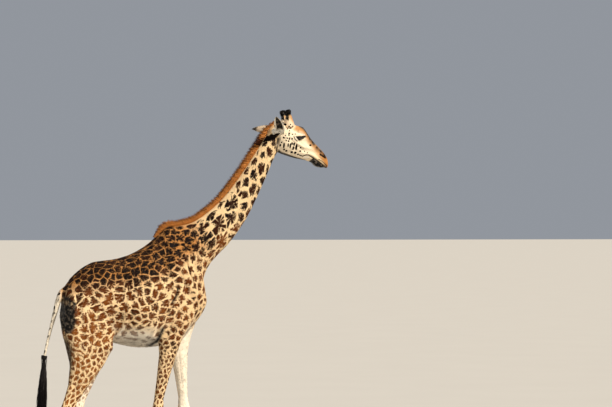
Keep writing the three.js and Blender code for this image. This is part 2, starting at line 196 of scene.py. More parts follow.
def headShare(points):  # 1 on the head and 0 behind the ears and the jaw
    s, h = headPlaces(points).T
    return soft(s - np.interp(h, *headRear), -0.02, 0.03) * soft(h, -0.235, -0.205) * (points[:, 2] > 3.1)


def onEars(points):  # 1 on the free part of the ears
    x, y, z = points.T
    return (np.abs(y) > 0.085) * (z > 3.6) * (x < 1.02)


ringStep, legTop = 0.004, 1.56


def legRings(leg):  # centre and reach of a leg at each height, measured on its CAD nodes
    corners = np.array([v.co for part in ("upper", "lower")
                        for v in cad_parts[f"leg_{leg}_{part}"].data.vertices])
    levels = np.round(corners[:, 2] / ringStep).astype(int)
    rings = []
    for level in sorted(set(levels)):
        ring = corners[levels == level]
        if len(ring) > 11 and level * ringStep < legTop:
            low, high = ring.min(0), ring.max(0)
            rings.append([level * ringStep, *(low + high)[:2] / 2, *(high - low)[:2] / 2])
    return np.array(rings)


legs = {leg: legRings(leg) for leg in ("fore_right", "fore_left", "hind_right", "hind_left")}


def sideOf(leg):
    return 1 if leg.endswith("left") else -1


def ringAt(leg, z):  # middle in x and y and reach in x and y at that height
    return [np.interp(z, legs[leg][:, 0], legs[leg][:, i]) for i in range(1, 5)]


def legAt(leg, z, across):  # across is -1 at the back of the leg and 1 at its front
    middle, _, reach, _ = ringAt(leg, z)
    return middle + across * reach, z


# Camera and studio
cameraView = {"at": (-6.462, -25.196, 2.78), "aim": (1.139, -0.332, 2.99), "lens": 156.06}
studio = {"keyFrom": (0.70, -1.0, 1.25), "keySize": 0.03, "keyPower": 4.9, "keyTint": (1.0, 0.92, 0.79),
          "skyTint": (0.84, 0.90, 1.0), "skyPower": 0.34, "floorTint": (0.54, 0.51, 0.465),
          "floorSize": 900}


def facing(direction):
    return Vector(direction).to_track_quat("-Z", "Y").to_euler()


def buildStudio():
    aim = Vector(cameraView["aim"]) - Vector(cameraView["at"])
    bpy.ops.object.camera_add(location=cameraView["at"], rotation=facing(aim))
    camera = bpy.context.object
    camera.data.lens = cameraView["lens"]
    camera.data.sensor_width = 36
    camera.data.clip_end = 2000
    bpy.context.scene.camera = camera
    bpy.ops.object.light_add(type="SUN", location=(0, 0, 6), rotation=facing(-Vector(studio["keyFrom"])))
    key = bpy.context.object
    key.name = "keyLight"
    key.data.energy = studio["keyPower"]
    key.data.angle = studio["keySize"]
    key.data.color = studio["keyTint"]
    sky = bpy.data.worlds.new("studioSky")
    sky.use_nodes = True
    backdrop = sky.node_tree.nodes["Background"]
    backdrop.inputs["Color"].default_value = (*studio["skyTint"], 1)
    backdrop.inputs["Strength"].default_value = studio["skyPower"]
    bpy.context.scene.world = sky
    bpy.ops.mesh.primitive_plane_add(size=studio["floorSize"], location=(0, 0, 0))
    floor = bpy.context.object
    floor.name = "floor"
    bpy.context.scene.view_settings.view_transform = "Standard"
    return floor


# Materials
class Link:  # a shader socket that takes part in Python arithmetic
    def __init__(self, finish, socket):
        self.finish, self.socket = finish, socket

    def maths(self, operation, *values):
        return self.finish.node("ShaderNodeMath", {"operation": operation}, dict(enumerate(values)))

    def __add__(self, other):
        return self.maths("ADD", self, other)

    def __sub__(self, other):
        return self.maths("SUBTRACT", self, other)

    def __rsub__(self, other):
        return self.maths("SUBTRACT", other, self)

    def __mul__(self, other):
        return self.maths("MULTIPLY", self, other)

    __radd__ = __add__
    __rmul__ = __mul__

    def held(self):  # kept between 0 and 1
        return self.finish.node("ShaderNodeClamp", {}, {"Value": self})

    def least(self, other):
        return self.maths("MINIMUM", self, other)

    def most(self, other):
        return self.maths("MAXIMUM", self, other)

    def eased(self, low, high):  # 0 at low, 1 at high
        return self.finish.node("ShaderNodeMapRange", {"interpolation_type": "SMOOTHSTEP"},
                                {"Value": self, "From Min": low, "From Max": high})


class Finish:  # one material's node tree
    def __init__(self, name, **constants):
        self.material = bpy.data.materials.new(name)
        self.material.use_nodes = True
        self.tree = self.material.node_tree
        self.shader = self.tree.nodes["Principled BSDF"]
        for socket, value in constants.items():
            self.shader.inputs[socket.replace("_", " ")].default_value = value

    def node(self, kind, settings, values, output=0):
        node = self.tree.nodes.new(kind)
        for key, value in settings.items():
            setattr(node, key, value)
        for socket, value in values.items():
            if isinstance(value, Link):
                self.tree.links.new(value.socket, node.inputs[socket])
            else:
                node.inputs[socket].default_value = value
        return Link(self, node.outputs[output])

    def put(self, socket, link):
        self.tree.links.new(link.socket, self.shader.inputs[socket])

    def place(self):
        return self.node("ShaderNodeTexCoord", {}, {}, "Object")

    def shared(self, name, output="Vector"):
        return self.node("ShaderNodeAttribute", {"attribute_name": name}, {}, output)

    def split(self, name):
        vector = self.shared(name)
        return [self.node("ShaderNodeSeparateXYZ", {}, {"Vector": vector}, i) for i in range(3)]

    def vectors(self, operation, a, b, output=0):
        return self.node("ShaderNodeVectorMath", {"operation": operation}, {0: a, 1: b}, output)

    def noise(self, vector, scale, detail=2.0, output=0):
        values = {"Vector": vector, "Scale": scale, "Detail": detail}
        return self.node("ShaderNodeTexNoise", {}, values, output)

    def wander(self, vector, scale, reach, detail=2.0):  # a vector shifted about by noise
        centred = self.vectors("SUBTRACT", self.noise(vector, scale, detail, 1), (0.5, 0.5, 0.5))
        return self.vectors("ADD", vector, self.vectors("MULTIPLY", centred, (reach,) * 3))

    def mix(self, factor, a, b):  # colours
        return self.node("ShaderNodeMix", {"data_type": "RGBA"}, {0: factor, 6: a, 7: b}, 2)

    def bump(self, height, strength, distance):
        return self.node("ShaderNodeBump", {}, {"Height": height, "Strength": strength, "Distance": distance})


def rgb(red, green, blue):
    return (red, green, blue, 1)


coatTones = {
    "cream": rgb(0.88, 0.66, 0.38), "tan": rgb(0.46, 0.20, 0.055), "white": rgb(0.90, 0.84, 0.72),
    "orange": rgb(0.42, 0.17, 0.040), "nearBlack": rgb(0.006, 0.003, 0.002),
    "darkBrown": rgb(0.034, 0.008, 0.0015), "midBrown": rgb(0.115, 0.028, 0.004),
    "paleBrown": rgb(0.25, 0.076, 0.012), "darkSkin": rgb(0.007, 0.006, 0.005),
    "palerSkin": rgb(0.125, 0.095, 0.066), "gloss": 0.45, "roughness": 0.78,
    "ragged": 0.34, "lobes": 1.35, "core": (0.08, 0.22), "slit": 0.29,  # the outline of a patch
}
coatGrain = {"edge": 2.6, "bristle": 22, "shade": 6.0, "mottle": 38.0, "strand": (45, 160),  # noise scales
             "relief": 0.004}
cellNames = ("cellFirst", "cellSecond", "cellThird")


def coatFinish():
    tones, scales = coatTones, coatGrain
    coat = Finish("coat", Specular_IOR_Level=0.1, Coat_Roughness=0.22)
    place = coat.shared("coatPlace")
    gap, dark, notch = coat.split("coatPattern")
    tan, white, orange = coat.split("coatGround")
    spot, skinDark, upright = coat.split("coatDetail")
    here = coat.place()

    drifted = coat.wander(place, scales["edge"], tones["ragged"], 3.0)
    reaches = []  # squared distance to each of the three nearest cell centres
    for name in cellNames:
        away = coat.vectors("SUBTRACT", drifted, coat.shared(name))
        reaches.append(coat.vectors("DOT_PRODUCT", away, away, 1))
    low, high = reaches[0].least(reaches[1]), reaches[0].most(reaches[1])
    nearest = low.least(reaches[2])
    edge = (low.most(high.least(reaches[2])) - nearest) * 0.5
    owner = (0, 0, 0)  # the nearest centre
    for name, reach in zip(cellNames, reaches):
        mine = reach.maths("COMPARE", reach, nearest, 0.0001)
        owner = coat.vectors("ADD", coat.vectors("MULTIPLY", coat.shared(name), mine), owner)
    chance = coat.node("ShaderNodeTexWhiteNoise", {}, {"Vector": owner})
    ray = coat.vectors("NORMALIZE", coat.vectors("SUBTRACT", drifted, owner), (0, 0, 0))
    around = coat.vectors("ADD", ray, coat.vectors("MULTIPLY", owner, (4.1, 4.1, 4.1)))
    lobe = coat.noise(around, tones["lobes"], 1.0) - 0.5
    bristle = coat.noise(coat.vectors("MULTIPLY", place, (scales["bristle"],) * 3), 1.0) - 0.5
    depth = edge - gap * (0.75 + chance * 0.5) + bristle * 0.05
    body = depth.eased(0.0, 0.025)
    core = tones["core"][0] + tones["core"][1] * coat.noise(around, 3.1, 0.0)
    opened = (nearest.maths("SQRT", nearest) - core).most(0.0) * notch * tones["slit"]
    cut = (lobe.maths("ABSOLUTE", lobe) - opened + bristle * 0.010).eased(-0.002, 0.006)
    patch = (body * cut * (1 - white * 0.45)).held()
    dot = (spot + bristle * 0.28).eased(-0.06, 0.06)

    grain = coat.noise(here, scales["shade"], 3.0)
    shade = (dark + (chance - 0.5) * 0.30 + (grain - 0.5) * 0.5 - depth.eased(0.05, 0.4) * 0.15).held()
    brown = coat.mix(shade.eased(0.0, 0.35), tones["paleBrown"], tones["midBrown"])
    brown = coat.mix(shade.eased(0.30, 0.65), brown, tones["darkBrown"])
    brown = coat.mix(shade.eased(0.60, 0.95), brown, tones["nearBlack"])
    ground = coat.mix((tan + (grain - 0.5) * 0.35).held(), tones["cream"], tones["tan"])
    ground = coat.mix(orange, ground, tones["orange"])
    ground = coat.mix(white, ground, tones["white"])
    colour = coat.mix(patch, ground, brown)
    colour = coat.mix(dot, colour, tones["nearBlack"])
    mottle = coat.noise(here, scales["mottle"], 3.0)
    skinTone = coat.mix(mottle.eased(0.49, 0.68), tones["darkSkin"], tones["palerSkin"])
    colour = coat.mix((skinDark * 1.25 + (mottle - 0.5) * 0.5 * skinDark).held(), colour, skinTone)
    long, fine = scales["strand"]
    strand = coat.noise(coat.vectors("MULTIPLY", here, (long, fine, fine)), 1.0, 3.0)
    strandUp = coat.noise(coat.vectors("MULTIPLY", here, (fine, fine, long)), 1.0, 3.0)
    lie = strand + (strandUp - strand) * upright
    streak = coat.node("ShaderNodeHueSaturation", {}, {"Color": colour, "Value": 0.80 + lie * 0.40})
    coat.put("Base Color", streak)
    coat.put("Roughness", tones["roughness"] - skinDark * 0.30)
    coat.put("Coat Weight", skinDark * mottle.eased(0.42, 0.62) * tones["gloss"])
    coat.put("Normal", coat.bump(lie, 0.5, scales["relief"]))
    return coat.material


hairTones = {  # root, tip and how blotchy
    "mane": (rgb(0.56, 0.215, 0.045), rgb(0.10, 0.026, 0.007), 0.7),
    "black": (rgb(0.006, 0.004, 0.004), rgb(0.014, 0.009, 0.007), 0.4),
}


def hairFinish(name, roughness):
    root, tip, blotch = hairTones[name]
    hair = Finish(name + "Hair", Roughness=roughness, Specular_IOR_Level=0.2)
    along = hair.shared("along", 2) * 0.85 + hair.shared("tone", 2) * 0.46
    wide = hair.noise(hair.place(), 14.0, 4.0)
    fine = hair.noise(hair.place(), 260.0, 2.0)
    turn = (along + (wide - 0.5) * blotch + (fine - 0.5) * 0.5).eased(0.74, 1.30)
    hair.put("Base Color", hair.mix(turn, root, tip))
    hair.put("Normal", hair.bump(fine, 0.3, 0.001))
    return hair.material


def floorFinish():
    plain = Finish("floorPaint", Roughness=0.9)
    cloud = plain.noise(plain.place(), 0.7, 3.0)
    pale = studio["floorTint"]
    plain.put("Base Color", plain.mix(cloud, rgb(*pale), rgb(*(0.94 * c for c in pale))))
    return plain.material


def hornFinish():  # hooves
    horn = Finish("hoofHorn", Roughness=0.55, Specular_IOR_Level=0.4)
    here = horn.place()
    rings = horn.noise(horn.vectors("MULTIPLY", here, (6, 6, 260)), 1.0, 2.0)
    grain = horn.noise(horn.vectors("MULTIPLY", here, (300, 300, 30)), 1.0, 3.0)
    blotch = horn.noise(here, 18.0, 3.0)
    base = horn.mix(blotch.eased(0.35, 0.7), rgb(0.055, 0.042, 0.032), rgb(0.13, 0.10, 0.075))
    colour = horn.mix((rings * grain).eased(0.15, 0.45) * 0.6, base, rgb(0.20, 0.16, 0.12))
    horn.put("Base Color", colour)
    horn.put("Roughness", 0.45 + grain * 0.35)
    horn.put("Normal", horn.bump(rings + grain * 0.4, 0.5, 0.002))
    return horn.material


def eyeFinish():
    eye = Finish("wetEye", Roughness=0.04, Specular_IOR_Level=0.6, Coat_Weight=1.0, Coat_Roughness=0.02)
    middle = headAt(*eyes["middle"])
    centred = eye.vectors("SUBTRACT", eye.place(), (middle[0], 0, middle[1]))
    flat = eye.vectors("MULTIPLY", centred, (1, 0, 1))
    ring = eye.vectors("LENGTH", flat, flat, 1)
    oval = eye.vectors("MULTIPLY", centred, eyes["pupilShape"])
    oval = eye.vectors("LENGTH", oval, oval, 1)
    fibres = eye.noise(flat, 420.0, 4.0)
    iris = eye.mix(fibres, rgb(0.030, 0.014, 0.006), rgb(0.085, 0.040, 0.016))
    dark = eye.mix(oval.eased(*eyes["pupil"]), rgb(0.003, 0.003, 0.004), iris)
    eye.put("Base Color", eye.mix(ring.eased(*eyes["iris"]), dark, rgb(0.020, 0.012, 0.009)))
    return eye.material


def lidFinish():
    lid = Finish("lidSkin", Roughness=0.35, Specular_IOR_Level=0.5)
    wrinkle = lid.noise(lid.place(), 500.0, 3.0)
    lid.put("Base Color", lid.mix(wrinkle, rgb(0.010, 0.008, 0.008), rgb(0.030, 0.022, 0.020)))
    lid.put("Normal", lid.bump(wrinkle, 0.4, 0.0006))
    return lid.material


# The skin: flesh nodes joined, remeshed, smoothed, then worked like clay
skinMaking = {"voxel": 0.0072, "headCentre": (1.06, 0.0, 3.66), "headCore": 0.52, "headSwell": 2.2,
              "smoothing": 10, "trunkSmoothing": 70, "coatDepth": 0.0035, "headDepth": 0.0012,
              "triangles": 188000}
eyes = {"middle": (0.281, 0.048), "side": 0.090, "radius": 0.026, "half": 0.0245, "upper": 0.0105,
        "lower": 0.0135, "corners": 1.7, "tilt": 0.07, "lid": 0.0032, "rim": 0.0018,
        "pupil": (0.0065, 0.0080), "pupilShape": (0.62, 0, 1.25), "iris": (0.0155, 0.0185),
        "around": 0.06, "blend": (0.020, 0.046), "snap": (0.80, 1.20),  # how the lids meet the face
        "darkUnder": ([-0.050, -0.036, -0.021, 0.001, 0.030, 0.055],  # lower edge of the dark skin and painted shade there
                      [0.015, -0.010, -0.027, -0.020, -0.014, 0.004])}


def swollen(points, factor, back=False):  # the head drawn up in size, so that it is remeshed finely
    centre, core = np.array(skinMaking["headCentre"]), skinMaking["headCore"]
    away = points - centre
    reach = np.linalg.norm(away, axis=1)
    if back:
        wanted = np.where(reach < core * factor, reach / factor, reach - core * factor + core)
    else:
        wanted = np.where(reach < core, reach * factor, reach - core + core * factor)
    return centre + away * (wanted / np.maximum(reach, 1e-9))[:, None]


def rawSkin():
    flesh = [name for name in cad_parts
             if not name.startswith(("claw", "eye", "mane", "tail_tuft", "ossicone"))]
    skin = copyOfNodes("skin", flesh)
    setPoints(skin, swollen(pointsOf(skin), skinMaking["headSwell"]))
    applyModifier(skin, "REMESH", mode="VOXEL", voxel_size=skinMaking["voxel"])
    points = swollen(pointsOf(skin), skinMaking["headSwell"], back=True)
    setPoints(skin, points)
    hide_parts(*flesh)
    x, y, z = points.T
    thin = np.maximum(soft(-x, 1.215, 1.25), (np.abs(y) > 0.085) * soft(z, 3.6, 3.68) * (x < 1.0))
    bulk = soft(z, 1.62, 1.85) * (1 - soft(alongLine(points[:, [0, 2]], neckLine)[0], 0.05, 0.7)) * (1 - thin)
    muzzle = headShare(points) * soft(headPlaces(points)[:, 0], 0.45, 0.6)
    setWeights(skin, "firm", (1 - 0.8 * thin) * (1 - 0.5 * muzzle))
    setWeights(skin, "bulk", bulk)
    applyModifier(skin, "SMOOTH", factor=0.5, iterations=skinMaking["smoothing"], vertex_group="firm")
    applyModifier(skin, "SMOOTH", factor=0.5, iterations=skinMaking["trunkSmoothing"], vertex_group="bulk")
    print("raw skin,", len(skin.data.vertices), "points")
    return skin


# Marks in the side view: line, width, push out (or in), in metres. Both sides take them.
bodyMarks = {
    "scapula ridge": ([(-0.20, 2.58), (-0.09, 2.36), (0.02, 2.14)], 0.050, 0.010),
    "hollow before the scapula": ([(-0.02, 2.56), (0.06, 2.34), (0.11, 2.20)], 0.050, -0.010),
    "hollow behind the scapula": ([(-0.28, 2.46), (-0.24, 2.26)], 0.075, -0.010),
    "upper arm": ([(-0.06, 1.98), (-0.14, 1.88)], 0.120, 0.014),
    "point of the shoulder": ([(0.07, 2.06)], 0.085, 0.012),
    "fold behind the shoulder": ([(-0.127, 2.165), (-0.164, 2.065), (-0.251, 1.929)], 0.020, -0.022),
    "lip of that fold": ([(-0.10, 2.15), (-0.14, 2.05), (-0.22, 1.95)], 0.030, 0.010),
    "crease behind the elbow": ([(-0.266, 1.918), (-0.31, 1.84), (-0.34, 1.72)], 0.030, -0.012),
    "elbow": ([(-0.30, 1.70)], 0.050, 0.008),
    "chest crease": ([(0.115, 2.43), (0.104, 2.26), (0.094, 2.13), (0.043, 1.94)], 0.020, -0.011),
    "neck fold one": ([(0.075, 2.63), (0.07, 2.52), (0.11, 2.43), (0.13, 2.37)], 0.016, -0.010),
    "neck fold two": ([(-0.037, 2.43), (0.004, 2.30), (0.04, 2.20)], 0.018, -0.010),
    "neck fold three": ([(0.135, 2.66), (0.125, 2.56), (0.155, 2.47)], 0.015, -0.009),
    "neck muscle": ([(0.30, 2.80), (0.12, 2.60), (0.02, 2.45)], 0.060, 0.008),
    "windpipe groove": ([(0.80, 3.44), (0.66, 3.16), (0.50, 2.90), (0.30, 2.62)], 0.022, -0.006),
    "flank hollow": ([(-0.66, 2.24), (-0.70, 2.12)], 0.130, -0.016),
    "hip bone": ([(-0.86, 2.33)], 0.080, 0.014),
    "flank fold": ([(-0.63, 2.02), (-0.66, 1.86), (-0.72, 1.72)], 0.045, 0.010),
    "crease before the thigh": ([(-0.60, 2.00), (-0.63, 1.84), (-0.68, 1.73)], 0.026, -0.008),
    "stifle": ([(-0.78, 1.60)], 0.080, 0.008),
    "rump groove": ([(-1.12, 2.10), (-1.10, 1.90), (-1.07, 1.70)], 0.040, -0.008),
    "pin bone": ([(-1.17, 2.06)], 0.060, 0.010),
    "thigh muscle": ([(-0.90, 2.05), (-0.86, 1.80)], 0.110, 0.008),
}
ribs = {"count": 7, "first": (-0.32, 2.20), "step": (-0.052, -0.012), "length": 0.42, "width": 0.020,
        "push": 0.0028}
backbone = {"from": -1.15, "to": -0.25, "width": 0.022, "push": 0.005}
foreheadKnob = {"along": 0.262, "length": 0.07, "width": 0.045, "push": 0.006}
legMarks = {  # points as the height and the place across the leg, -1 at its back and 1 at its front
    "fore": {
        "knee": ([(0.955, 0.45)], 0.050, 0.005), "back of the knee": ([(0.985, -0.9)], 0.042, 0.008),
        "above the knee": ([(1.06, -0.5), (1.12, -0.4)], 0.035, -0.004),
        "forearm": ([(1.50, 0.1), (1.28, 0.1)], 0.060, 0.006),
        "forearm groove": ([(1.54, -0.25), (1.18, -0.2)], 0.018, -0.005),
        "tendon groove": ([(0.84, -0.2), (0.33, -0.15)], 0.012, -0.005),
        "tendon": ([(0.84, -0.65), (0.33, -0.6)], 0.014, 0.003),
        "fetlock": ([(0.232, -0.5)], 0.040, 0.006),
    },
    "hind": {
        "hock point": ([(0.995, -0.9)], 0.045, 0.007),
        "hollow before the tendon": ([(1.30, -0.42), (1.08, -0.35)], 0.032, -0.012),
        "hock knob": ([(0.92, 0.25)], 0.050, 0.005), "gaskin": ([(1.46, 0.2), (1.24, 0.2)], 0.070, 0.007),
        "tendon groove": ([(0.80, -0.2), (0.33, -0.15)], 0.012, -0.005),
        "tendon": ([(0.80, -0.65), (0.33, -0.6)], 0.014, 0.003),
        "fetlock": ([(0.232, -0.5)], 0.040, 0.006),
    },
}
# The same in head places: distance along the head, height off its axis
headMarks = {
    "brow": ([(0.235, 0.092), (0.275, 0.104), (0.318, 0.100)], 0.024, 0.008),
    "cheekbone": ([(0.20, -0.004), (0.28, -0.014), (0.37, -0.004)], 0.022, 0.006),
    "hollow before the eye": ([(0.350, 0.050), (0.41, 0.046)], 0.032, -0.007),
    "temple": ([(0.165, 0.070), (0.205, 0.078)], 0.036, -0.008),
    "jaw muscle": ([(0.165, -0.055), (0.225, -0.095)], 0.078, 0.009),
    "edge of the jaw muscle": ([(0.318, -0.030), (0.300, -0.080), (0.282, -0.125)], 0.018, -0.006),
    "jaw edge": ([(0.13, -0.160), (0.22, -0.163), (0.33, -0.132), (0.45, -0.085)], 0.020, 0.003),
    "throat corner": ([(0.105, -0.090), (0.125, -0.135)], 0.030, -0.012),
    "hollow of the cheek": ([(0.37, -0.035), (0.44, 0.000), (0.50, 0.030)], 0.034, -0.007),
    "nose bone": ([(0.40, 0.085), (0.52, 0.080)], 0.020, 0.003),
    "nostril rim": ([(0.548, 0.064), (0.590, 0.068), (0.626, 0.060)], 0.014, 0.005),
    "nostril": ([(0.556, 0.047), (0.590, 0.051), (0.616, 0.053)], 0.010, -0.014),
    "nostril sill": ([(0.565, 0.030), (0.610, 0.032)], 0.014, 0.003),
    "mouth": ([(0.385, -0.088), (0.420, -0.075), (0.439, -0.046), (0.460, -0.032), (0.503, -0.026),
               (0.547, -0.024), (0.600, -0.022), (0.643, -0.022), (0.690, -0.014)], 0.0085, -0.008),
    "upper lip": ([(0.470, -0.008), (0.550, -0.006), (0.640, -0.005)], 0.018, 0.004),
    "lip fold": ([(0.569, 0.012), (0.607, 0.008), (0.648, 0.004)], 0.008, -0.003),
    "lower lip": ([(0.500, -0.046), (0.580, -0.049), (0.650, -0.044)], 0.020, 0.004),
    "chin": ([(0.585, -0.066)], 0.040, 0.004),
}


def pressMark(points, normals, places, line, width, push, side=0):
    line = np.array(line, float)
    low, high = line.min(0) - width, line.max(0) + width
    near = np.flatnonzero(np.all((places > low) & (places < high), axis=1)
                          & ((side == 0) | (points[:, 1] * side > 0)))
    if not len(near):
        return
    gap = alongLine(places[near], rounded(line) if len(line) > 2 else line)[2]
    weight = np.clip(1 - (gap / width) ** 2, 0, 1) ** 2
    weight *= np.clip(np.abs(normals[near, 1]) * 1.8 - 0.2, 0, 1)
    points[near] += normals[near] * (push * weight)[:, None]


def workSkin(skin):
    points, normals = pointsOf(skin), normalsOf(skin)
    sideView = points[:, [0, 2]].copy()
    for line, width, push in bodyMarks.values():
        pressMark(points, normals, sideView, line, width, push)
    for i in range(ribs["count"]):
        x, z = (start + i * step for start, step in zip(ribs["first"], ribs["step"]))
        line = [(x, z + ribs["length"] / 2), (x - 0.03, z), (x - 0.10, z - ribs["length"] / 2)]
        pressMark(points, normals, sideView, line, ribs["width"], ribs["push"])
    for leg in legs:
        for line, width, push in legMarks[leg[:4]].values():
            pressMark(points, normals, sideView, [legAt(leg, z, across) for z, across in line],
                      width, push, sideOf(leg))
    onHead = headPlaces(points)
    for line, width, push in headMarks.values():
        pressMark(points, normals, onHead, line, width, push)

    x, y, z = points.T
    midline = np.exp(-(y / backbone["width"]) ** 2) * (normals[:, 2] > 0.3)
    midline *= (x < backbone["to"]) * (x > backbone["from"])
    points += normals * (backbone["push"] * midline)[:, None]
    ahead, aside = (onHead[:, 0] - foreheadKnob["along"]) / foreheadKnob["length"], y / foreheadKnob["width"]
    knob = np.clip(1 - ahead ** 2 - aside ** 2, 0, 1) * (onHead[:, 1] > 0.1)
    points += normals * (foreheadKnob["push"] * knob ** 2)[:, None]
    share = headShare(points)
    depth = skinMaking["headDepth"] * share + skinMaking["coatDepth"] * (1 - share)
    depth = np.where((x < -1.24) | (np.abs(y) > 0.11) & (z > 3.6), 0.001, depth)  # tail and ears
    points -= normals * depth[:, None]
    setPoints(skin, points)
    applyModifier(skin, "SMOOTH", factor=0.5, iterations=2, vertex_group="firm")
    openEyes(skin)


def eyeFrame(side):
    x, z = headAt(*eyes["middle"])
    turn = eyes["tilt"]
    ahead = np.array([np.cos(turn), 0, np.sin(turn)])
    above = np.array([-np.sin(turn), 0, np.cos(turn)])
    return np.array([x, side * eyes["side"], z]), ahead, above, np.array([0, side, 0])


def eyePlaces(points, side):  # distances ahead of, above and out from the middle of that eye
    middle, *ways = eyeFrame(side)
    return [(points - middle) @ way for way in ways]


def eyePoints(side, a, b, rise):  # the points at those distances
    middle, ahead, above, out = eyeFrame(side)
    outer = np.multiply.outer
    return middle + outer(a, ahead) + outer(b, above) + outer(rise, out)


def lidHeight(b):
    return np.where(b > 0, eyes["upper"], eyes["lower"])


def almond(a, b):  # 1 on the edge of the lids, smaller inside
    power = eyes["corners"]
    return (np.abs(a / eyes["half"]) ** power + np.abs(b / lidHeight(b)) ** power) ** (1 / power)


def lidRise(a, b, extra):  # how far out a ball that much larger than the eye lies
    return np.sqrt(np.clip((eyes["radius"] + extra) ** 2 - a ** 2 - b ** 2, 0, None))


def openEyes(skin):  # lids that lie on the eyeballs, with an almond opening
    points = pointsOf(skin)
    low, high = eyes["snap"]  # points so near the edge of the lids are moved onto it
    for side in (1, -1):
        a, b, rise = eyePlaces(points, side)
        reach = np.hypot(a, b)
        near = (reach < eyes["around"]) & (rise > -eyes["around"] / 2)
        share = 1 - soft(reach, *eyes["blend"])
        lifted = rise + (np.maximum(lidRise(a, b, eyes["lid"]), rise) - rise) * share
        edge = np.maximum(almond(a, b), 1e-6)
        inner, outer = edge < 1, edge >= 1
        snapped = near & (edge > low) & (edge < high)
        shift = np.where(outer, 1 / edge, 0.985 / edge)
        a, b = np.where(snapped, a * shift, a), np.where(snapped, b * shift, b)
        lifted = np.where(snapped & outer, lidRise(a, b, eyes["lid"]), lifted)
        lifted = np.where(inner, lidRise(a, b, np.where(snapped, -0.001, -0.005)), lifted)
        points[near] = eyePoints(side, a, b, lifted)[near]
    setPoints(skin, points)


def lightenSkin(skin):  # fewer triangles, most of them kept for the head
    points = pointsOf(skin)
    setWeights(skin, "loose", 1 - 0.9 * np.clip(headShare(points) + onEars(points), 0, 1))
    count = sum(len(p.vertices) - 2 for p in skin.data.polygons)
    applyModifier(skin, "DECIMATE", ratio=skinMaking["triangles"] / count, vertex_group="loose")
    for group in list(skin.vertex_groups):
        skin.vertex_groups.remove(group)
    applyModifier(skin, "TRIANGULATE")
    unwrap(skin, 0.002)
    print("skin,", len(skin.data.polygons), "faces")


# The coat's cells, one to each patch, as cells to the metre: pairs of lists are read between their places
trunkCells = {"x": ([-1.35, -1.0, -0.5, -0.15, 0.0, 0.3], [12.5, 11.5, 10.5, 10.6, 11.2, 12.0]),
              "z": ([1.2, 1.6, 1.9, 2.2, 2.5, 2.9], [18.0, 15.0, 12.3, 11.5, 12.5, 13.0]), "y": 14.0}
neckCells = {"run": [0.0, 0.4, 0.9, 1.5], "across": [10.5, 10.0, 10.8, 12.0],
             "along": [1.0, 0.78, 0.70, 0.72]}
legCells = {"z": [0.0, 0.3, 0.9, 1.5, 1.8], "across": [30.0, 27.0, 23.0, 18.5, 17.0],
            "along": [22.0, 21.0, 18.0, 18.0, 17.0]}
cellSpread = {"perUnit": 1.05, "samples": 24, "rounds": 4}
# Spots of the face: along the head, off its axis, half width and half height in the side view
faceSpots = [
    (0.119, 0.068, 0.007, 0.007), (0.148, 0.067, 0.006, 0.007), (0.118, 0.090, 0.006, 0.006),
    (0.123, 0.039, 0.006, 0.006), (0.151, 0.037, 0.006, 0.005), (0.080, 0.062, 0.010, 0.009),
    (0.148, 0.092, 0.005, 0.006), (0.162, 0.013, 0.008, 0.008), (0.170, -0.003, 0.007, 0.007),
    (0.144, -0.027, 0.006, 0.006), (0.195, 0.026, 0.006, 0.006), (0.216, 0.046, 0.005, 0.005),
    (0.144, -0.054, 0.009, 0.009), (0.175, -0.037, 0.006, 0.007), (0.195, -0.029, 0.006, 0.012),
    (0.216, -0.012, 0.006, 0.010), (0.182, -0.062, 0.006, 0.007), (0.203, -0.052, 0.007, 0.008),
    (0.157, -0.102, 0.006, 0.007), (0.194, -0.112, 0.007, 0.025), (0.224, -0.086, 0.006, 0.018),
    (0.246, -0.078, 0.007, 0.023), (0.246, -0.050, 0.008, 0.013), (0.267, -0.042, 0.008, 0.015),
    (0.287, -0.076, 0.008, 0.017), (0.305, -0.049, 0.009, 0.028), (0.343, -0.026, 0.008, 0.008),
    (0.364, -0.054, 0.010, 0.008), (0.402, -0.028, 0.005, 0.005), (0.434, -0.022, 0.005, 0.005),
    (0.415, 0.057, 0.010, 0.008), (0.249, -0.137, 0.009, 0.008), (0.301, -0.113, 0.010, 0.010),
    (0.334, -0.097, 0.011, 0.010), (0.367, -0.090, 0.009, 0.007), (0.100, 0.010, 0.007, 0.007),
    (0.165, -0.130, 0.007, 0.012), (0.222, -0.140, 0.007, 0.008),
]


def summed(value, places, densities):  # how many cells there are up to this place
    grid = np.linspace(places[0] - 1, places[-1] + 1, 600)
    density = np.interp(grid, places, densities)
    total = np.concatenate([[0], np.cumsum((density[1:] + density[:-1]) / 2 * np.diff(grid))])
    return np.interp(value, grid, total)


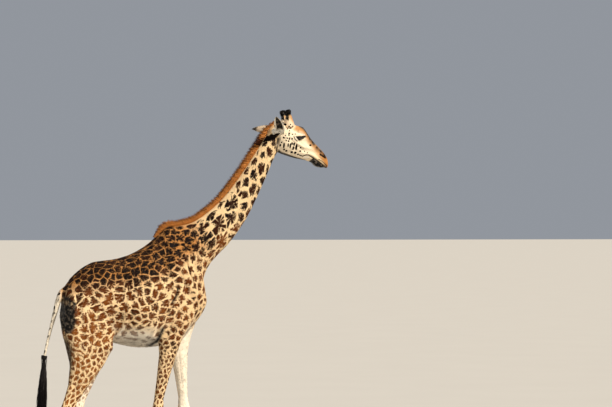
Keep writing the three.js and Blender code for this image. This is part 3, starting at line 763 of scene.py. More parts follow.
def cellPlaces(points):  # places measured in cells, so that one cell is about one unit across
    x, y, z = points.T
    place = np.stack([summed(x, *trunkCells["x"]), y * trunkCells["y"], summed(z, *trunkCells["z"])], 1)
    lower = soft(-z, -1.75, -1.45)
    rise = summed(z, legCells["z"], legCells["along"]) - summed(1.6, legCells["z"], legCells["along"])
    across = np.interp(z, legCells["z"], legCells["across"])
    for leg in legs:
        mine = (y * sideOf(leg) > 0) & ((x > -0.6) == leg.startswith("fore"))
        middleX, middleY, _, _ = ringAt(leg, z)
        top = np.full(len(x), ringAt(leg, 1.5)[0])
        legPlace = np.stack([summed(top, *trunkCells["x"]) + (x - middleX) * across,
                             middleY * trunkCells["y"] + (y - middleY) * across,
                             rise + summed(1.6, *trunkCells["z"])], 1)
        weight = (lower * mine)[:, None]
        place = place * (1 - weight) + legPlace * weight
    sideView = points[:, [0, 2]]
    run, near, _, _ = alongLine(sideView, neckLine)
    across = np.interp(run, neckCells["run"], neckCells["across"])
    densities = np.array(neckCells["across"]) * neckCells["along"]
    ahead = summed(run, neckCells["run"], densities) - summed(0.0, neckCells["run"], densities)
    offset = sideView - near
    neckPlace = np.stack([
        summed(neckLine[0, 0], *trunkCells["x"]) + ahead * 0.80 + offset[:, 0] * across,
        y * across, summed(neckLine[0, 1], *trunkCells["z"]) + ahead * 0.60 + offset[:, 1] * across], 1)
    onNeck = soft(run, 0.0, 0.35)[:, None]
    return place * (1 - onNeck) + neckPlace * onNeck


def treeOf(places):
    tree = KDTree(len(places))
    for i, place in enumerate(places):
        tree.insert(place, i)
    tree.balance()
    return tree


def nearestOf(targets, places, many):
    tree = treeOf(targets)
    return np.array([[found[1] for found in tree.find_n(place, many)] for place in places])


def faceAreas(points, corners):
    a, b, c = (points[corners[:, i]] for i in range(3))
    return np.linalg.norm(np.cross(b - a, c - a), axis=1) / 2


def spotsOnFaces(chances, count):  # random places: each one's face, and how much of each corner it takes
    picked = dice.choice(len(chances), count, p=chances / chances.sum())
    u, v = np.sqrt(dice.random(count)), dice.random(count)
    return picked, np.stack([1 - u, u * (1 - v), u * v], 1)[:, :, None]


def scatterCells(place, corners):  # cell centres spread evenly over the skin
    areas = faceAreas(place, corners)
    count = int(areas.sum() * cellSpread["perUnit"])
    picked, share = spotsOnFaces(areas, count * cellSpread["samples"])
    samples = (place[corners[picked]] * share).sum(1)
    centres = samples[:count]
    for _ in range(cellSpread["rounds"]):
        owner = nearestOf(centres, samples, 1)[:, 0]
        members = np.maximum(np.bincount(owner, minlength=count), 1)[:, None]
        centres = np.stack([np.bincount(owner, samples[:, i], count) for i in range(3)], 1) / members
    print(count, "cells of the coat")
    return centres


def hollowSide(ear):  # axis, length, way of the open side and way across it
    axis = np.array(ear["tip"]) - ear["foot"]
    length = np.linalg.norm(axis)
    axis = axis / length
    hollow = np.array(ear["hollow"])
    hollow = unit(hollow - axis * (hollow @ axis))
    return axis, length, hollow, np.cross(axis, hollow)


def earPlaces(points, ear):  # way from the ear's foot, distance along its axis, and which points are near
    axis = hollowSide(ear)[0]
    off = points - ear["foot"]
    out = off @ axis
    aside = np.linalg.norm(off - np.outer(out, axis), axis=1)
    return off, out, (aside < earBounds["reach"]) & (np.abs(points[:, 1]) > earBounds["offMiddle"])


def acrossHindLegs(points):  # -1 on the backs of the hind legs and 1 on their fronts
    share = np.zeros(len(points))
    for leg in ("hind_right", "hind_left"):
        middle, _, reach, _ = ringAt(leg, points[:, 2])
        mine = (points[:, 1] * sideOf(leg) > 0) & (np.abs(points[:, 0] - middle) < 1.6 * reach)
        share = np.where(mine, (points[:, 0] - middle) / reach, share)
    return share


def nearLine(places, line, width):  # 1 on the line, fading over its width
    return np.exp(-(alongLine(places, line)[2] / width) ** 2)


# Edges of markings, as pairs of lists
darkBackFrom = ([-1.25, -0.95, -0.5, -0.2, 0.1], [2.06, 2.14, 2.18, 2.28, 2.5])  # height against x
rumpShadeEdge = ([1.60, 1.735, 1.761, 1.816, 1.939, 2.006, 2.049, 2.086, 2.11],
            [-1.24, -1.225, -1.160, -1.147, -1.141, -1.122, -1.156, -1.185, -1.24])  # x against height, edge of the painted shade on the rear of the rump
neckDepth = ([0.0, 0.15, 0.33, 0.6, 0.87, 1.11, 1.29, 1.42],
             [0.30, 0.224, 0.196, 0.164, 0.135, 0.113, 0.099, 0.098])  # half depth against the run
headTop = ([0.10, 0.189, 0.265, 0.314, 0.373, 0.433, 0.498, 0.571, 0.626, 0.672, 0.70],
           [0.105, 0.137, 0.166, 0.153, 0.131, 0.119, 0.106, 0.095, 0.078, 0.046, 0.0])  # in head places
mouthLevel = ([0.50, 0.547, 0.643, 0.69, 0.72], [-0.028, -0.026, -0.024, -0.014, -0.010])
jawShadeDepth = ([0.1, 0.22, 0.36, 0.5, 0.6], [0.158, 0.164, 0.118, 0.062, 0.062])
# Lines in the side view: painted shadow behind the ear, painted shade at the shoulder fold and the armpit, a
# pale streak and painted highlights on the rump
earShadowPatch = [(0.950, 3.674), (0.917, 3.668), (0.857, 3.642), (0.810, 3.631), (0.763, 3.622)]
shoulderSlitShade = [(-0.127, 2.165), (-0.138, 2.110), (-0.164, 2.065), (-0.193, 2.025)]
armpitShadow = [(-0.276, 1.768), (-0.302, 1.700), (-0.320, 1.648), (-0.372, 1.615)]
rumpStreak = [(-1.139, 2.205), (-1.136, 2.125)]
rumpHighlights = [[(-1.206, 2.045), (-1.203, 2.025)], [(-1.172, 2.031), (-1.166, 2.006)],
              [(-1.246, 1.970), (-1.242, 1.956)]]
# Lines in head places, with their width and strength
palerLines = {
    # a painted highlight along the brow over the eye
    "highlight over the eye": ([(0.233, 0.060), (0.264, 0.080), (0.295, 0.094)], 0.009, 0.8),
    "corner of the mouth": ([(0.470, -0.050), (0.440, -0.075)], 0.012, 0.8),
    "under the eye": ([(0.231, 0.022), (0.255, 0.017), (0.275, 0.018)], 0.005, 1.0),
}
darkLines = {  # the last three are the waves of its edge: how many, their start and depth
    "bridge of the nose": ([(0.301, 0.149), (0.329, 0.137), (0.370, 0.117), (0.409, 0.104), (0.444, 0.098)],
                           0.024, 1.0, (118, 1.0, 0.15)),
    "front of the brow": ([(0.232, 0.160), (0.264, 0.160), (0.301, 0.149)], 0.023, 0.95, (0, 0, 0)),
    "blotch over the nostril": ([(0.488, 0.084), (0.535, 0.079), (0.582, 0.073), (0.612, 0.066)],
                                0.021, 0.85, (110, -1.2, 0.16)),
    "crease of the eye": ([(0.222, 0.014), (0.244, 0.001), (0.272, 0.000)], 0.0075, 0.8, (0, 0, 0)),
}
lipFold = [(0.567, -0.002), (0.600, 0.002), (0.640, 0.001), (0.683, 0.000)]
throatShadow = [(0.112, -0.095), (0.130, -0.130), (0.150, -0.160), (0.165, -0.19)]


def bodyParts(points, normals):  # soft masks of the parts of the body, and places on them
    x, y, z = points.T
    at = SimpleNamespace(points=points, x=x, y=y, z=z, sideView=points[:, [0, 2]], onHead=headPlaces(points))
    at.s, at.h = at.onHead.T
    at.inward = -normals[:, 1] * np.sign(y)  # how far the skin faces the middle of the animal
    at.run, near, _, _ = alongLine(at.sideView, neckLine)
    at.neck = soft(at.run, 0.0, 0.35)
    above = (at.sideView - near) @ np.array([-0.78, 0.62])
    at.rise = above / np.interp(at.run, *neckDepth)  # -1 at the throat and 1 under the mane
    at.face = headShare(points)
    at.leg = soft(-z, -1.62, -1.35)
    at.rear = soft(-x, 0.45, 0.85)
    at.back = soft(z - np.interp(x, *darkBackFrom), -0.06, 0.16)
    at.front = soft(x, -0.30, 0.0) * (1 - at.neck)
    at.chest = soft(x, -0.12, 0.10) * (1 - at.neck) * soft(-z, -2.45, -2.2)
    at.tail = soft(-x, 1.225, 1.26) * (np.abs(y) < 0.06)
    underside = soft(-normals[:, 2], 0.2, 0.75) * soft(-z, -1.95, -1.7) * (z > 1.45) * (np.abs(y) < 0.3)
    belly = soft(1.80 - z, -0.02, 0.10) * soft(-x, 0.28, 0.42) * soft(x, -0.78, -0.62) * (z > 1.5)
    at.belly = np.maximum(belly, underside)
    foreInner = soft(at.inward, -0.05, 0.40) * (x > -0.5) * soft(-z, -1.84, -1.72)
    at.foreInner = foreInner * soft(z, 0.5, 0.9) * soft(np.abs(y), 0.02, 0.06)
    return at


def patchFields(at):  # gap between the patches, how dark they are and how deep the cuts into them
    flank = at.rear * (1 - at.back)
    throat = soft(-at.rise, -0.1, 0.7) * (1 - soft(at.run, 0.4, 0.9))
    gap = 0.016 + 0.040 * (1 - at.back) + 0.035 * flank * soft(-at.z, -2.0, -1.7)
    gap = gap * (1 - at.chest) + 0.075 * at.chest + 0.01 * at.front
    gap = gap * (1 - at.neck) + (0.052 + 0.048 * soft(at.run, 0.35, 1.1)) * at.neck
    gap += 0.05 * at.leg + 0.05 * soft(-at.z, -0.9, -0.3) + 0.15 * at.belly
    gap += 0.5 * soft(at.rise, 0.80, 0.93) * at.neck + at.face
    gap += 0.5 * nearLine(at.sideView, rumpStreak, 0.011) + 0.4 * at.foreInner
    dark = 0.46 + 0.54 * at.back - 0.20 * flank * soft(-at.z, -2.1, -1.7)
    dark = dark * (1 - at.neck) + (0.80 - 0.34 * throat) * at.neck
    dark -= 0.08 * at.leg * (1 - soft(-at.z, -1.2, -0.8))
    notch = 0.60 + 0.32 * at.front - (0.12 - 0.16 * soft(at.run, 0.7, 1.1)) * at.neck
    notch -= 0.15 * at.rear + 0.20 * at.leg + 0.40 * at.back * (1 - at.neck)
    return gap, dark, notch


def groundFields(at):  # tan, white and orange of the hair between the patches
    crown = at.face * soft(at.h - np.interp(at.s, *headTop), -0.096, -0.040) * soft(at.s, 0.15, 0.20)
    muzzle = at.face * soft(at.s, 0.50, 0.62) * soft(at.h, -0.02, 0.03)
    nose = soft(at.s, 0.655, 0.69) * (at.h > -0.012)
    tan = 0.85 * at.back * (1 - at.neck) + 0.17 + 0.10 * at.front
    tan = np.maximum(tan, 0.60 * soft(at.rise, 0.84, 1.04) * at.neck)
    tan = np.clip(np.maximum(tan * (1 - at.face), 0.33 * muzzle + 0.80 * crown), 0, 1)
    inner = at.leg * soft(at.inward, 0.2, 0.8) * soft(at.z, 0.6, 1.1)
    white = np.maximum.reduce([0.85 * at.belly, 0.7 * inner, 0.45 * at.face * soft(-at.s, -0.62, -0.40)])
    white = np.maximum(white * (1 - crown), 0.75 * at.foreInner)
    for line, width, strength in palerLines.values():
        white = np.maximum(white, at.face * strength * nearLine(at.onHead, line, width))
    return tan, white, 0.40 * crown + 0.05 * nose


def spotField(at):  # above 0 in the black spots of the face and in the patch behind each ear, a dark neck patch with the ear's painted shadow on it
    x, y, z = at.x, at.y, at.z
    # the patch behind the ear: the ear's painted shadow over a dark neck patch
    reach = 0.028 + 0.005 * np.sin(x * 95 + z * 60) + 0.003 * np.sin(x * 210 - z * 160)
    patch = 100 * (reach - alongLine(at.sideView, earShadowPatch)[2])
    spots = np.where((np.abs(y) > 0.02) & (at.s < 0.09), patch, -1)
    for along, off, wide, tall in faceSpots:
        for side, ahead, down in ((-1, 0, 0), (1, 0.004, 0.005)):  # not quite the same on both cheeks
            middleX, middleZ = headAt(along + ahead, off - down)
            far = np.hypot((x - middleX) / (1.25 * wide), (z - middleZ) / (1.15 * tall))
            spots = np.maximum(spots, np.where(y * side > 0, (1 - far) * min(wide, tall) * 100, -1))
    return spots


def darkSkinField(at):
    x, y, z, s, h, onHead = at.x, at.y, at.z, at.s, at.h, at.onHead
    layers = []
    for line, width, strength, (waves, start, depth) in darkLines.values():
        wavy = 1 - depth + depth * np.sin(s * waves + start)
        layers.append(strength * nearLine(onHead, line, width) * wavy * at.face)
    mouthWidth = 0.0055 + 0.0025 * soft(s, 0.46, 0.52)
    layers.append(nearLine(onHead, headMarks["mouth"][0], mouthWidth) * (s > 0.36))
    lip = soft(s, 0.495, 0.525) * soft(np.interp(s, *mouthLevel) - h, -0.002, 0.006)
    layers.append(lip * at.face)
    layers.append(0.9 * nearLine(onHead, lipFold, 0.005) * (s > 0.55))
    layers.append(nearLine(onHead, headMarks["nostril"][0], 0.010) * (np.abs(y) > 0.02) * at.face)
    # dark under the jaw: mostly painted shade, with the jaw's dark edge
    jaw = soft(-h - np.interp(s, *jawShadeDepth), 0.0, 0.015) * soft(s, 0.14, 0.19) * (1 - soft(s, 0.46, 0.50))
    layers.append(jaw * at.face)
    # painted shadow of the jaw in the throat corner
    layers.append(0.8 * nearLine(onHead, throatShadow, 0.015) * (s > 0.09))
    for side in (1, -1):  # the dark wedge round the eye: dark skin, with painted shade under the brow
        a, b, out = eyePlaces(at.points, side)
        under = soft(b - np.interp(a, *eyes["darkUnder"]), -0.0015, 0.0025)
        eyeSkinAndShade = soft(0.018 - b, -0.0015, 0.0025) * under * (np.abs(a - 0.003) < 0.055)
        layers.append(eyeSkinAndShade * (np.abs(out) < 0.05))

    # painted shade over the rear of the rump, with the dark bare skin by the tail root
    edge = np.interp(z, *rumpShadeEdge) + 0.010 * np.sin(z * 75) + 0.007 * np.sin(z * 137 + y * 60)
    rump = soft(edge - x, -0.012, 0.012) * (z > 1.6) * (z < 2.11)
    rump *= 1 - soft(-x, 1.215, 1.23) * (np.abs(y) < 0.045)  # not on the tail
    # painted highlights on the rump's dark skin
    rump *= 1 - np.maximum.reduce([nearLine(at.sideView, line, 0.009) for line in rumpHighlights])
    layers.append(0.95 * rump)
    # painted shade in the fold behind the shoulder
    layers.append(0.9 * nearLine(at.sideView, shoulderSlitShade, 0.009) * (np.abs(y) > 0.15))
    # painted shadow in the armpit behind the elbow
    layers.append(nearLine(at.sideView, armpitShadow, 0.019))
    # painted shade down the backs of the hind legs
    legBackShade = soft(-acrossHindLegs(at.points), 0.84, 0.97) * soft(z, 1.20, 1.45) * soft(-z, -1.71, -1.65)
    layers.append(0.7 * legBackShade)
    # painted shade under the belly, in grey clouds
    cloud = 0.5 + 0.28 * np.sin(x * 47 + 2 * np.sin(y * 31)) + 0.22 * np.sin(x * 91 + z * 120 + y * 50)
    layers.append(at.belly * soft(1.75 - z, 0.0, 0.10) * (0.10 + 0.34 * cloud))
    return np.maximum.reduce(layers)


def coatFields(points, normals):
    at = bodyParts(points, normals)
    gap, dark, notch = patchFields(at)
    tan, white, orange = groundFields(at)
    spots, skinDark = spotField(at), darkSkinField(at)
    onEar = np.zeros(len(points))
    for ear in ears.values():  # a dark hollow with a white rim, and a pale back with a dark tip; the hollow's dark skin and the dark tip are partly painted shade
        _, length, hollow, edgeWay = hollowSide(ear)
        off, out, near = earPlaces(points, ear)
        out = out / length
        bow = np.sin(np.pi * np.clip(0.17 + 0.83 * out, 0, 1) ** 0.9)
        wide = np.abs(off @ edgeWay) / (earBounds["halfWidth"] * np.clip(bow, 0.05, 1) ** 0.75)
        mine = soft(out, 0.06, 0.14) * (out < 1.08) * near
        inside = soft(normals @ hollow, 0.0, 0.35)
        rim = np.maximum(soft(wide, 0.50, 0.68), 1 - soft(out, 0.16, 0.26))
        shadedTip = 0.9 * soft(out, 0.70, 0.88) * (1 - inside)
        skinDark = skinDark * (1 - mine) + mine * np.maximum(inside * (1 - rim), shadedTip)
        white = white * (1 - mine) + mine * (0.95 * inside * rim + 0.35 * (1 - inside))
        orange = orange * (1 - mine)
        tan = tan * (1 - mine) + 0.5 * mine * (1 - inside)
        spots = spots * (1 - mine) - mine
        onEar = np.maximum(onEar, mine)
    gap = (gap + onEar) * (1 - at.tail) + 1.2 * at.tail
    white = np.maximum(white, 0.75 * at.tail)
    bands = np.cos(at.z * 92 + 0.9 * np.sin(at.z * 9)) - 0.35 - 1.6 * soft(normals[:, 0], -0.35, 0.35)
    spots = np.where(at.tail > 0.5, 0.9 * bands, spots)
    upright = np.maximum(at.leg, at.neck * (1 - at.face))
    return {"coatPlace": cellPlaces(points),
            "coatPattern": np.stack([gap, np.clip(dark, 0, 1), np.clip(notch, 0, 1)], 1),
            "coatGround": np.clip(np.stack([tan, white, orange], 1), 0, 1),
            "coatDetail": np.stack([spots, np.clip(skinDark, 0, 1), np.clip(upright, 0, 1)], 1)}


def store(mesh, name, values, domain="POINT"):  # values as one number or a vector each
    kind = "FLOAT" if values.ndim == 1 else "FLOAT_VECTOR"
    field = mesh.attributes.new(name, kind, domain)
    field.data.foreach_set("value" if values.ndim == 1 else "vector", values.astype(np.float32).ravel())


def finishPiece(piece, material):
    piece.data.materials.clear()
    piece.data.materials.append(material)
    piece.data.polygons.foreach_set("use_smooth", np.ones(len(piece.data.polygons), bool))
    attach(piece, "root")


def paintCells(piece, place, corners):  # each face is told its three nearest cells
    nearest = nearestOf(cells, place[corners].mean(1), 3)
    for i, name in enumerate(cellNames):
        store(piece.data, name, cells[nearest[:, i]], "FACE")
    return nearest


floor = buildStudio()
floor.data.materials.append(floorFinish())
coatMaterial = coatFinish()

skin = rawSkin()
workSkin(skin)
print("skin worked")
lightenSkin(skin)
skinPoints, skinNormals, skinCorners = pointsOf(skin), normalsOf(skin), cornersOf(skin)
skinFields = coatFields(skinPoints, skinNormals)
cells = scatterCells(skinFields["coatPlace"], skinCorners)
for name, values in skinFields.items():
    store(skin.data, name, values)
skinCells = paintCells(skin, skinFields["coatPlace"], skinCorners)
finishPiece(skin, coatMaterial)
print("skin painted")


# Eyes: smooth balls in the CAD sockets, and wet rims on the lids
def buildEyes():
    wet, lidSkin = eyeFinish(), lidFinish()
    for which, side in (("left", 1), ("right", -1)):
        bpy.ops.mesh.primitive_uv_sphere_add(segments=64, ring_count=40, radius=eyes["radius"],
                                             location=eyeFrame(side)[0], rotation=(np.pi / 2, 0, 0))
        ball = bpy.context.object
        ball.name = "eyeball_" + which
        bpy.ops.object.transform_apply(location=True, rotation=True, scale=True)
        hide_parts("eye_" + which)
        finishPiece(ball, wet)

        # a ring of radius 1, bent to the almond of the lids
        tube, power = 0.2, 2 / eyes["corners"]
        bpy.ops.mesh.primitive_torus_add(major_segments=64, minor_segments=8, major_radius=1,
                                         minor_radius=tube)
        rim = bpy.context.object
        rim.name = "eyelid_rim_" + which
        points = pointsOf(rim)
        around = np.arctan2(points[:, 1], points[:, 0])
        thick = (np.hypot(points[:, 0], points[:, 1]) - 1) / tube * eyes["rim"]
        lift = points[:, 2] / tube * eyes["rim"]
        a = eyes["half"] * np.sign(np.cos(around)) * np.abs(np.cos(around)) ** power
        b = np.sin(around)
        b = lidHeight(b) * np.sign(b) * np.abs(b) ** power
        reach = np.hypot(a, b)
        a, b = a * (1 + thick / reach), b * (1 + thick / reach)
        setPoints(rim, eyePoints(side, a, b, lidRise(a, b, eyes["lid"] - 0.0008) + lift))
        if side > 0:
            rim.data.flip_normals()
        finishPiece(rim, lidSkin)


buildEyes()
print("eyes")


# Ossicones and hooves: refined copies of their nodes
ossicones = {"voxel": 0.0032, "smoothing": 6, "underHair": 0.012, "shrink": 0.0012, "slant": 0.022,
             "foot": (0.100, 0.150), "cap": (0.150, 0.168), "rear": (0.100, 0.118), "thinned": (0.165, 0.19)}
hooves = {"voxel": 0.0042, "smoothing": 5, "ridges": 620, "ridge": 0.0009, "flatBelow": 0.005, "raise": 0.012}


def buildOssicones():
    horns = refinedNodes("ossicones", ["ossicone_left", "ossicone_right"], ossicones["voxel"],
                         ossicones["smoothing"])
    applyModifier(horns, "TRIANGULATE")
    points, normals = pointsOf(horns), normalsOf(horns)
    h = headPlaces(points)[:, 1]
    thinned = soft(h, *ossicones["thinned"])  # room for the tufts on top
    points -= normals * (ossicones["underHair"] * thinned + ossicones["shrink"])[:, None]
    setPoints(horns, points)
    unwrap(horns)
    fields = coatFields(points, normals)
    ahead = normals @ np.array([0.9, 0, 0.2])
    foot = 1 - soft(h, *ossicones["foot"])
    cap = soft(h - ossicones["slant"] * ahead, *ossicones["cap"])
    black = np.maximum(cap, soft(-ahead, 0.10, 0.45) * soft(h, *ossicones["rear"]))
    fields["coatPattern"][:, 0] = 1.2  # no patches
    fields["coatGround"] = np.stack([0.55 - 0.45 * foot, 0.40 * foot, 0.65 * soft(ahead, 0.05, 0.6)], 1)
    spots = np.where(h < 0.105, fields["coatDetail"][:, 0], -1)
    fields["coatDetail"] = np.stack([spots, black, np.ones(len(h))], 1)
    for name, values in fields.items():
        store(horns.data, name, values)
    paintCells(horns, fields["coatPlace"], cornersOf(horns))
    finishPiece(horns, coatMaterial)
    return horns


def buildHooves():
    horn = hornFinish()
    for leg in legs:
        pair = refinedNodes("hoof_" + leg, [f"claw_{leg}_{which}" for which in ("inner", "outer")],
                            hooves["voxel"], hooves["smoothing"])
        points, normals = pointsOf(pair), normalsOf(pair)
        ridges = hooves["ridge"] * np.sin(points[:, 2] * hooves["ridges"]) * (np.abs(normals[:, 2]) < 0.8)
        points += normals * ridges[:, None]
        points[:, 2] = np.where(points[:, 2] < hooves["flatBelow"], 0, points[:, 2])  # flat soles
        points[:, 2] += hooves["raise"] * soft(points[:, 2], 0.070, 0.088)  # the tops reach into the coat
        setPoints(pair, points)
        finishPiece(pair, horn)


horns = buildOssicones()
buildHooves()
print("ossicones and hooves")


# Hair: closed three-sided strands joined in one mesh
tuftPatch = 0.003  # width of a strand's patch on the skin's unwrap


def strandPiece(name, roots, ways, bends, lengths, widths, rings, uvs, flat=0.45, sides=None):
    count, perStrand = len(roots), rings * 3 + 1
    ways = unit(ways)
    if sides is None:
        sides = np.cross(ways, dice.normal(size=(count, 3)))
    sides = unit(sides)
    tops = np.cross(ways, sides)
    points = np.empty((count, perStrand, 3))
    spread = np.zeros((perStrand, 2))
    for ring in range(rings):
        t = ring / rings
        centre = roots + ways * (lengths * t)[:, None] + bends * (lengths * t * t)[:, None]
        thick = (widths / 2 * (1 - 0.75 * t ** 1.5))[:, None]
        for corner in range(3):
            angle = np.radians(-150 + 120 * corner)
            outward = np.cos(angle) * sides + flat * np.sin(angle) * tops
            points[:, ring * 3 + corner] = centre + thick * outward
            spread[ring * 3 + corner] = corner / 2 - 0.5, t - 0.5
    points[:, -1] = roots + ways * lengths[:, None] + bends * lengths[:, None]
    spread[-1] = 0, 0.5
    faces = [(2, 1, 0)]
    for ring in range(rings - 1):
        for corner in range(3):
            a, b = ring * 3 + corner, ring * 3 + (corner + 1) % 3
            faces += [(a, b, b + 3), (a, b + 3, a + 3)]
    last = rings * 3 - 3
    faces += [(last + corner, last + (corner + 1) % 3, perStrand - 1) for corner in range(3)]
    faces = np.array(faces)
    index = (faces[None] + (np.arange(count) * perStrand)[:, None, None]).reshape(-1, 3)

    mesh = bpy.data.meshes.new(name)
    mesh.vertices.add(count * perStrand)
    mesh.loops.add(index.size)
    mesh.polygons.add(len(index))
    mesh.vertices.foreach_set("co", points.astype(np.float32).ravel())
    mesh.loops.foreach_set("vertex_index", index.astype(np.int32).ravel())
    mesh.polygons.foreach_set("loop_start", np.arange(0, index.size, 3, dtype=np.int32))
    mesh.update(calc_edges=True)
    patch = uvs[:, None] + spread[None] * tuftPatch
    layer = mesh.uv_layers.new(name="OFBake")
    layer.data.foreach_set("uv", patch.reshape(-1, 2)[index.ravel()].astype(np.float32).ravel())
    store(mesh, "along", np.tile(np.repeat(np.arange(rings + 1) / rings, 3)[:perStrand], count))
    piece = bpy.data.objects.new(name, mesh)
    bpy.context.scene.collection.objects.link(piece)
    return piece, perStrand, len(faces)


skinUv = floatsOf(skin.data.uv_layers["OFBake"].data, "uv", 2).reshape(-1, 3, 2)
skinTree = treeOf(skinPoints[skinCorners].mean(1))


def uvNear(points):
    return np.array([skinUv[skinTree.find(point)[1]].mean(0) for point in points])


def hairWays(points, normals):  # the lie of the coat on the skin
    x, y, z = points.T
    way = np.tile([-1.0, 0.0, -0.25], (len(x), 1))
    down = np.array([0, 0, -1.0])
    leg = soft(-z, -1.85, -1.5)[:, None]
    way = way * (1 - leg) + down * leg
    run, _, _, heading = alongLine(points[:, [0, 2]], neckLine)
    onNeck = soft(run, -0.01, 0.25)[:, None]
    way = way * (1 - onNeck) - np.insert(heading, 1, 0, axis=1) * onNeck
    tail = (soft(-x, 1.23, 1.27) * (np.abs(y) < 0.06))[:, None]
    way = way * (1 - tail) + np.array([-0.2, 0, -1.0]) * tail
    face = headShare(points)[:, None]
    way = way * (1 - face) - np.insert(headAxis, 1, 0) * face
    for ear in ears.values():
        _, out, near = earPlaces(points, ear)
        way[near & (out > 0.015)] = hollowSide(ear)[0]
    return unit(way - normals * np.sum(way * normals, 1)[:, None])


coatTufts = {
    "perSquareMetre": 9000, "legs": 1.6, "head": 7.0, "ears": 9.0, "edges": 1.7, "perPiece": 48000,
    "body": (0.024, 0.0044), "shin": (0.014, 0.0030), "foot": (0.009, 0.0022), "face": (0.0065, 0.0016),
    "ear": (0.014, 0.0020),  # length and width of a tuft in each region
    "sizes": (0.75, 1.25), "stray": 0.14, "lift": 0.12, "sunk": 0.0006, "bend": 0.05, "flat": 0.35,
}


def buildCoat():
    middles = skinPoints[skinCorners].mean(1)
    x, _, z = middles.T
    head, ear = headShare(middles), onEars(middles)
    rearEdge = soft(-x, 1.14, 1.18) * (z < 2.2)
    undersides = soft(-skinNormals[skinCorners].mean(1)[:, 2], 0.4, 0.8) * (z > 1.4)
    density = 1 + (coatTufts["legs"] - 1) * soft(-z, -1.3, -0.9)
    density = np.maximum(density, coatTufts["edges"] * np.maximum(rearEdge, undersides))
    density = np.maximum.reduce([density, coatTufts["head"] * head, coatTufts["ears"] * ear])
    for side in (1, -1):
        a, b, out = eyePlaces(middles, side)
        density = np.where((almond(a, b) < 1.25) & (np.abs(out) < 0.04), 0, density)  # none on the eyes
    chances = faceAreas(skinPoints, skinCorners) * density * coatTufts["perSquareMetre"]
    count = int(chances.sum())
    picked, share = spotsOnFaces(chances, count)

    def rooted(values):
        return (values[skinCorners[picked]] * share).sum(1)

    roots, normals = rooted(skinPoints), unit(rooted(skinNormals))
    uvs = (skinUv[picked] * share).sum(1)
    ways = hairWays(roots, normals)
    sizes = np.tile(coatTufts["body"], (count, 1))
    for weight, kind in ((soft(-roots[:, 2], -1.3, -0.9), "shin"), (soft(-roots[:, 2], -0.4, -0.2), "foot"),
                         (head[picked], "face"), (ear[picked], "ear")):
        sizes += (np.array(coatTufts[kind]) - sizes) * weight[:, None]
    sizes *= dice.uniform(*coatTufts["sizes"], (count, 1))
    stray = dice.normal(0, coatTufts["stray"], (count, 1))
    lie = unit(ways + np.cross(normals, ways) * stray + normals * coatTufts["lift"])
    roots = roots - normals * coatTufts["sunk"]
    fields = {name: rooted(values) for name, values in skinFields.items()}
    pieces = int(np.ceil(count / coatTufts["perPiece"]))
    for i in range(pieces):
        part = slice(i, count, pieces)
        piece, perStrand, perFaces = strandPiece(
            f"coat_tufts_{i + 1}", roots[part], lie[part], -normals[part] * coatTufts["bend"],
            sizes[part, 0], sizes[part, 1], 1, uvs[part], coatTufts["flat"],
            np.cross(normals[part], lie[part]))
        for name, values in fields.items():
            store(piece.data, name, np.repeat(values[part], perStrand, 0))
        for j, name in enumerate(cellNames):
            store(piece.data, name, np.repeat(cells[skinCells[picked[part], j]], perFaces, 0), "FACE")
        finishPiece(piece, coatMaterial)
    print("coat,", count, "tufts in", pieces, "pieces")


# Side-view line under the mane, with the height of the hair
maneLine = [(-0.300, 2.660, 0.010), (-0.224, 2.738, 0.050), (-0.188, 2.762, 0.056), (-0.157, 2.772, 0.052),
            (-0.079, 2.776, 0.052), (0.053, 2.804, 0.060), (0.173, 2.871, 0.060), (0.359, 3.026, 0.062),
            (0.526, 3.228, 0.068), (0.659, 3.419, 0.069), (0.756, 3.566, 0.070), (0.838, 3.690, 0.068),
            (0.890, 3.750, 0.052), (0.925, 3.785, 0.030), (0.986, 3.800, 0.014)]
mane = {"locks": 5600, "halfWidth": 0.015, "sunk": 0.008, "lean": 0.30, "lock": 0.0050, "rings": 3,
        "bend": 0.12, "extra": 0.022, "core": 0.008, "coreHeight": 0.55, "coreTone": 0.35,
        "clumps": (205, 2.5, 21), "earShadowAt": 0.775, "earShadowWidth": 0.024}
tailSwitch = {"locks": 1100, "lock": 0.0045, "rings": 5, "length": (0.16, 0.30), "spread": 0.10,
              "stray": 0.02, "bend": 0.09, "core": 0.016, "coreTone": 0.3}
ossiconeTufts = {"locks": 1500, "lock": 0.0030, "rings": 3, "length": (0.008, 0.013), "stray": 0.12,
                 "bend": 0.25, "from": (0.152, 0.165)}
lashes = {"count": 44, "length": 0.021, "width": 0.0010, "rings": 4}
coreVoxel = 0.006


def finishCore(core, points, tone, material):  # the solid middle under the locks
    setPoints(core, points)
    store(core.data, "along", np.full(len(points), tone))
    unwrap(core)
    finishPiece(core, material)


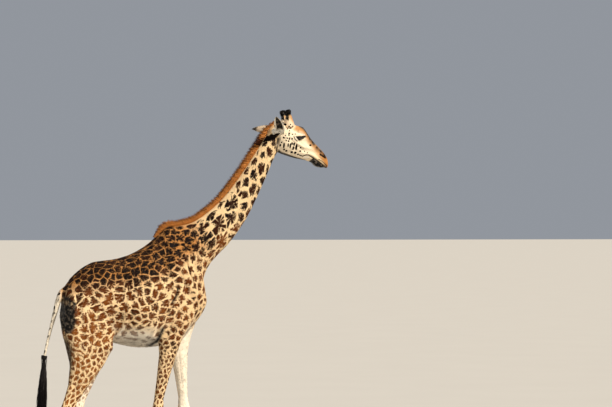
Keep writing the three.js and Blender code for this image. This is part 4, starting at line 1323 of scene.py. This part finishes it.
def buildMane():
    hair, count = hairFinish("mane", 0.6), mane["locks"]
    line = rounded(maneLine, 8)
    places = np.concatenate([[0], np.cumsum(np.linalg.norm(np.diff(line[:, :2], axis=0), axis=1))])
    run = dice.uniform(0, places[-1], count)
    x, z, height = (np.interp(run, places, line[:, i]) for i in range(3))
    slope = np.gradient(line[:, :2], places, axis=0)
    heading = unit(np.stack([np.interp(run, places, slope[:, i]) for i in range(2)], 1))
    forward = np.stack([heading[:, 0], 0 * x, heading[:, 1]], 1)
    upward = np.stack([-heading[:, 1], 0 * x, heading[:, 0]], 1)
    aside = dice.uniform(-1, 1, count)
    roots = np.stack([x, aside * mane["halfWidth"], z], 1) - upward * mane["sunk"]
    ways = upward - forward * (mane["lean"] + dice.normal(0, 0.10, count))[:, None]
    ways[:, 1] += aside * -0.06 + dice.normal(0, 0.07, count)
    often, sway, slow = mane["clumps"]
    waves = np.sin(run * often + sway * np.sin(run * slow))  # the mane stands in small clumps
    lengths = (height + mane["extra"]) * dice.uniform(0.82, 1.08, count) * (1 - 0.10 * aside ** 2)
    lengths *= 0.88 + 0.10 * waves
    widths = mane["lock"] * dice.uniform(0.8, 1.3, count)
    tones = waves + dice.normal(0, 0.35, count)
    tones += 3.5 * np.exp(-((x - mane["earShadowAt"]) / mane["earShadowWidth"]) ** 2)  # painted shadow of the ear across the mane, by the patch behind the ear
    locks, perStrand, _ = strandPiece("mane_locks", roots, ways, -forward * mane["bend"], lengths, widths,
                                      mane["rings"], uvNear(roots))
    store(locks.data, "tone", np.repeat(tones, perStrand))
    finishPiece(locks, hair)
    core = refinedNodes("mane_core", ["mane"], coreVoxel)
    points = pointsOf(core) - normalsOf(core) * mane["core"]
    foot = alongLine(points[:, [0, 2]], line[:, :2])[1]
    points[:, [0, 2]] = foot + (points[:, [0, 2]] - foot) * mane["coreHeight"]
    finishCore(core, points, mane["coreTone"], hair)


def buildTailSwitch(black):
    core = refinedNodes("tail_switch_core", ["tail_tuft"], coreVoxel)
    applyModifier(core, "TRIANGULATE")
    points = pointsOf(core) - normalsOf(core) * tailSwitch["core"]
    finishCore(core, points, tailSwitch["coreTone"], black)
    points, normals = pointsOf(core), normalsOf(core)
    picked = dice.choice(len(points), tailSwitch["locks"])
    roots, normals = points[picked], normals[picked]
    room = np.maximum(roots[:, 2] - points[:, 2].min(), 0.03)
    lengths = np.minimum(dice.uniform(*tailSwitch["length"], len(roots)), room * 0.95)
    ways = np.array([-0.05, 0, -1.0]) + normals * tailSwitch["spread"]
    ways += dice.normal(0, tailSwitch["stray"], (len(roots), 3))
    locks = strandPiece("tail_switch", roots, ways, -normals * tailSwitch["bend"], lengths,
                        np.full(len(roots), tailSwitch["lock"]), tailSwitch["rings"], uvNear(roots))[0]
    finishPiece(locks, black)


def buildOssiconeTufts(black):
    count = ossiconeTufts["locks"]
    points, normals = pointsOf(horns), normalsOf(horns)
    h = headPlaces(points)[:, 1]
    share = soft(h - ossicones["slant"] * normals[:, 0], *ossiconeTufts["from"])
    top = np.flatnonzero(share > dice.random(len(h)))
    picked = dice.choice(top, count)
    ways = normals[picked] * 0.9 + np.array([-0.2, 0, 0.5])
    ways += dice.normal(0, ossiconeTufts["stray"], (count, 3))
    lengths = dice.uniform(*ossiconeTufts["length"], count)
    tufts = strandPiece("ossicone_tufts", points[picked], ways, -normals[picked] * ossiconeTufts["bend"],
                        lengths, np.full(count, ossiconeTufts["lock"]), ossiconeTufts["rings"],
                        uvNear(points[picked]))[0]
    finishPiece(tufts, black)


def buildLashes(black):
    roots, ways, bends, lengths = [], [], [], []
    for side in (1, -1):
        _, ahead, above, out = eyeFrame(side)
        for share in np.linspace(-0.93, 0.97, lashes["count"]):
            a = share * eyes["half"]
            b = eyes["upper"] * (1 - abs(share) ** eyes["corners"]) ** (1 / eyes["corners"]) + 0.0012
            roots.append(eyePoints(side, a, b, lidRise(a, b, eyes["lid"])))
            ways.append(out * 0.85 + above * (0.10 + dice.normal(0, 0.06)) + ahead * (0.30 + share * 0.45))
            bends.append(-above * 0.42)
            lengths.append(lashes["length"] * (0.70 + 0.35 * share) * dice.uniform(0.85, 1.1))
    roots, ways, bends, lengths = (np.array(values) for values in (roots, ways, bends, lengths))
    piece = strandPiece("eyelashes", roots, ways, bends, lengths, np.full(len(roots), lashes["width"]),
                        lashes["rings"], uvNear(roots), 0.8)[0]
    finishPiece(piece, black)


buildCoat()
buildMane()
blackHair = hairFinish("black", 0.45)
buildTailSwitch(blackHair)
buildOssiconeTufts(blackHair)
buildLashes(blackHair)
print("hair")
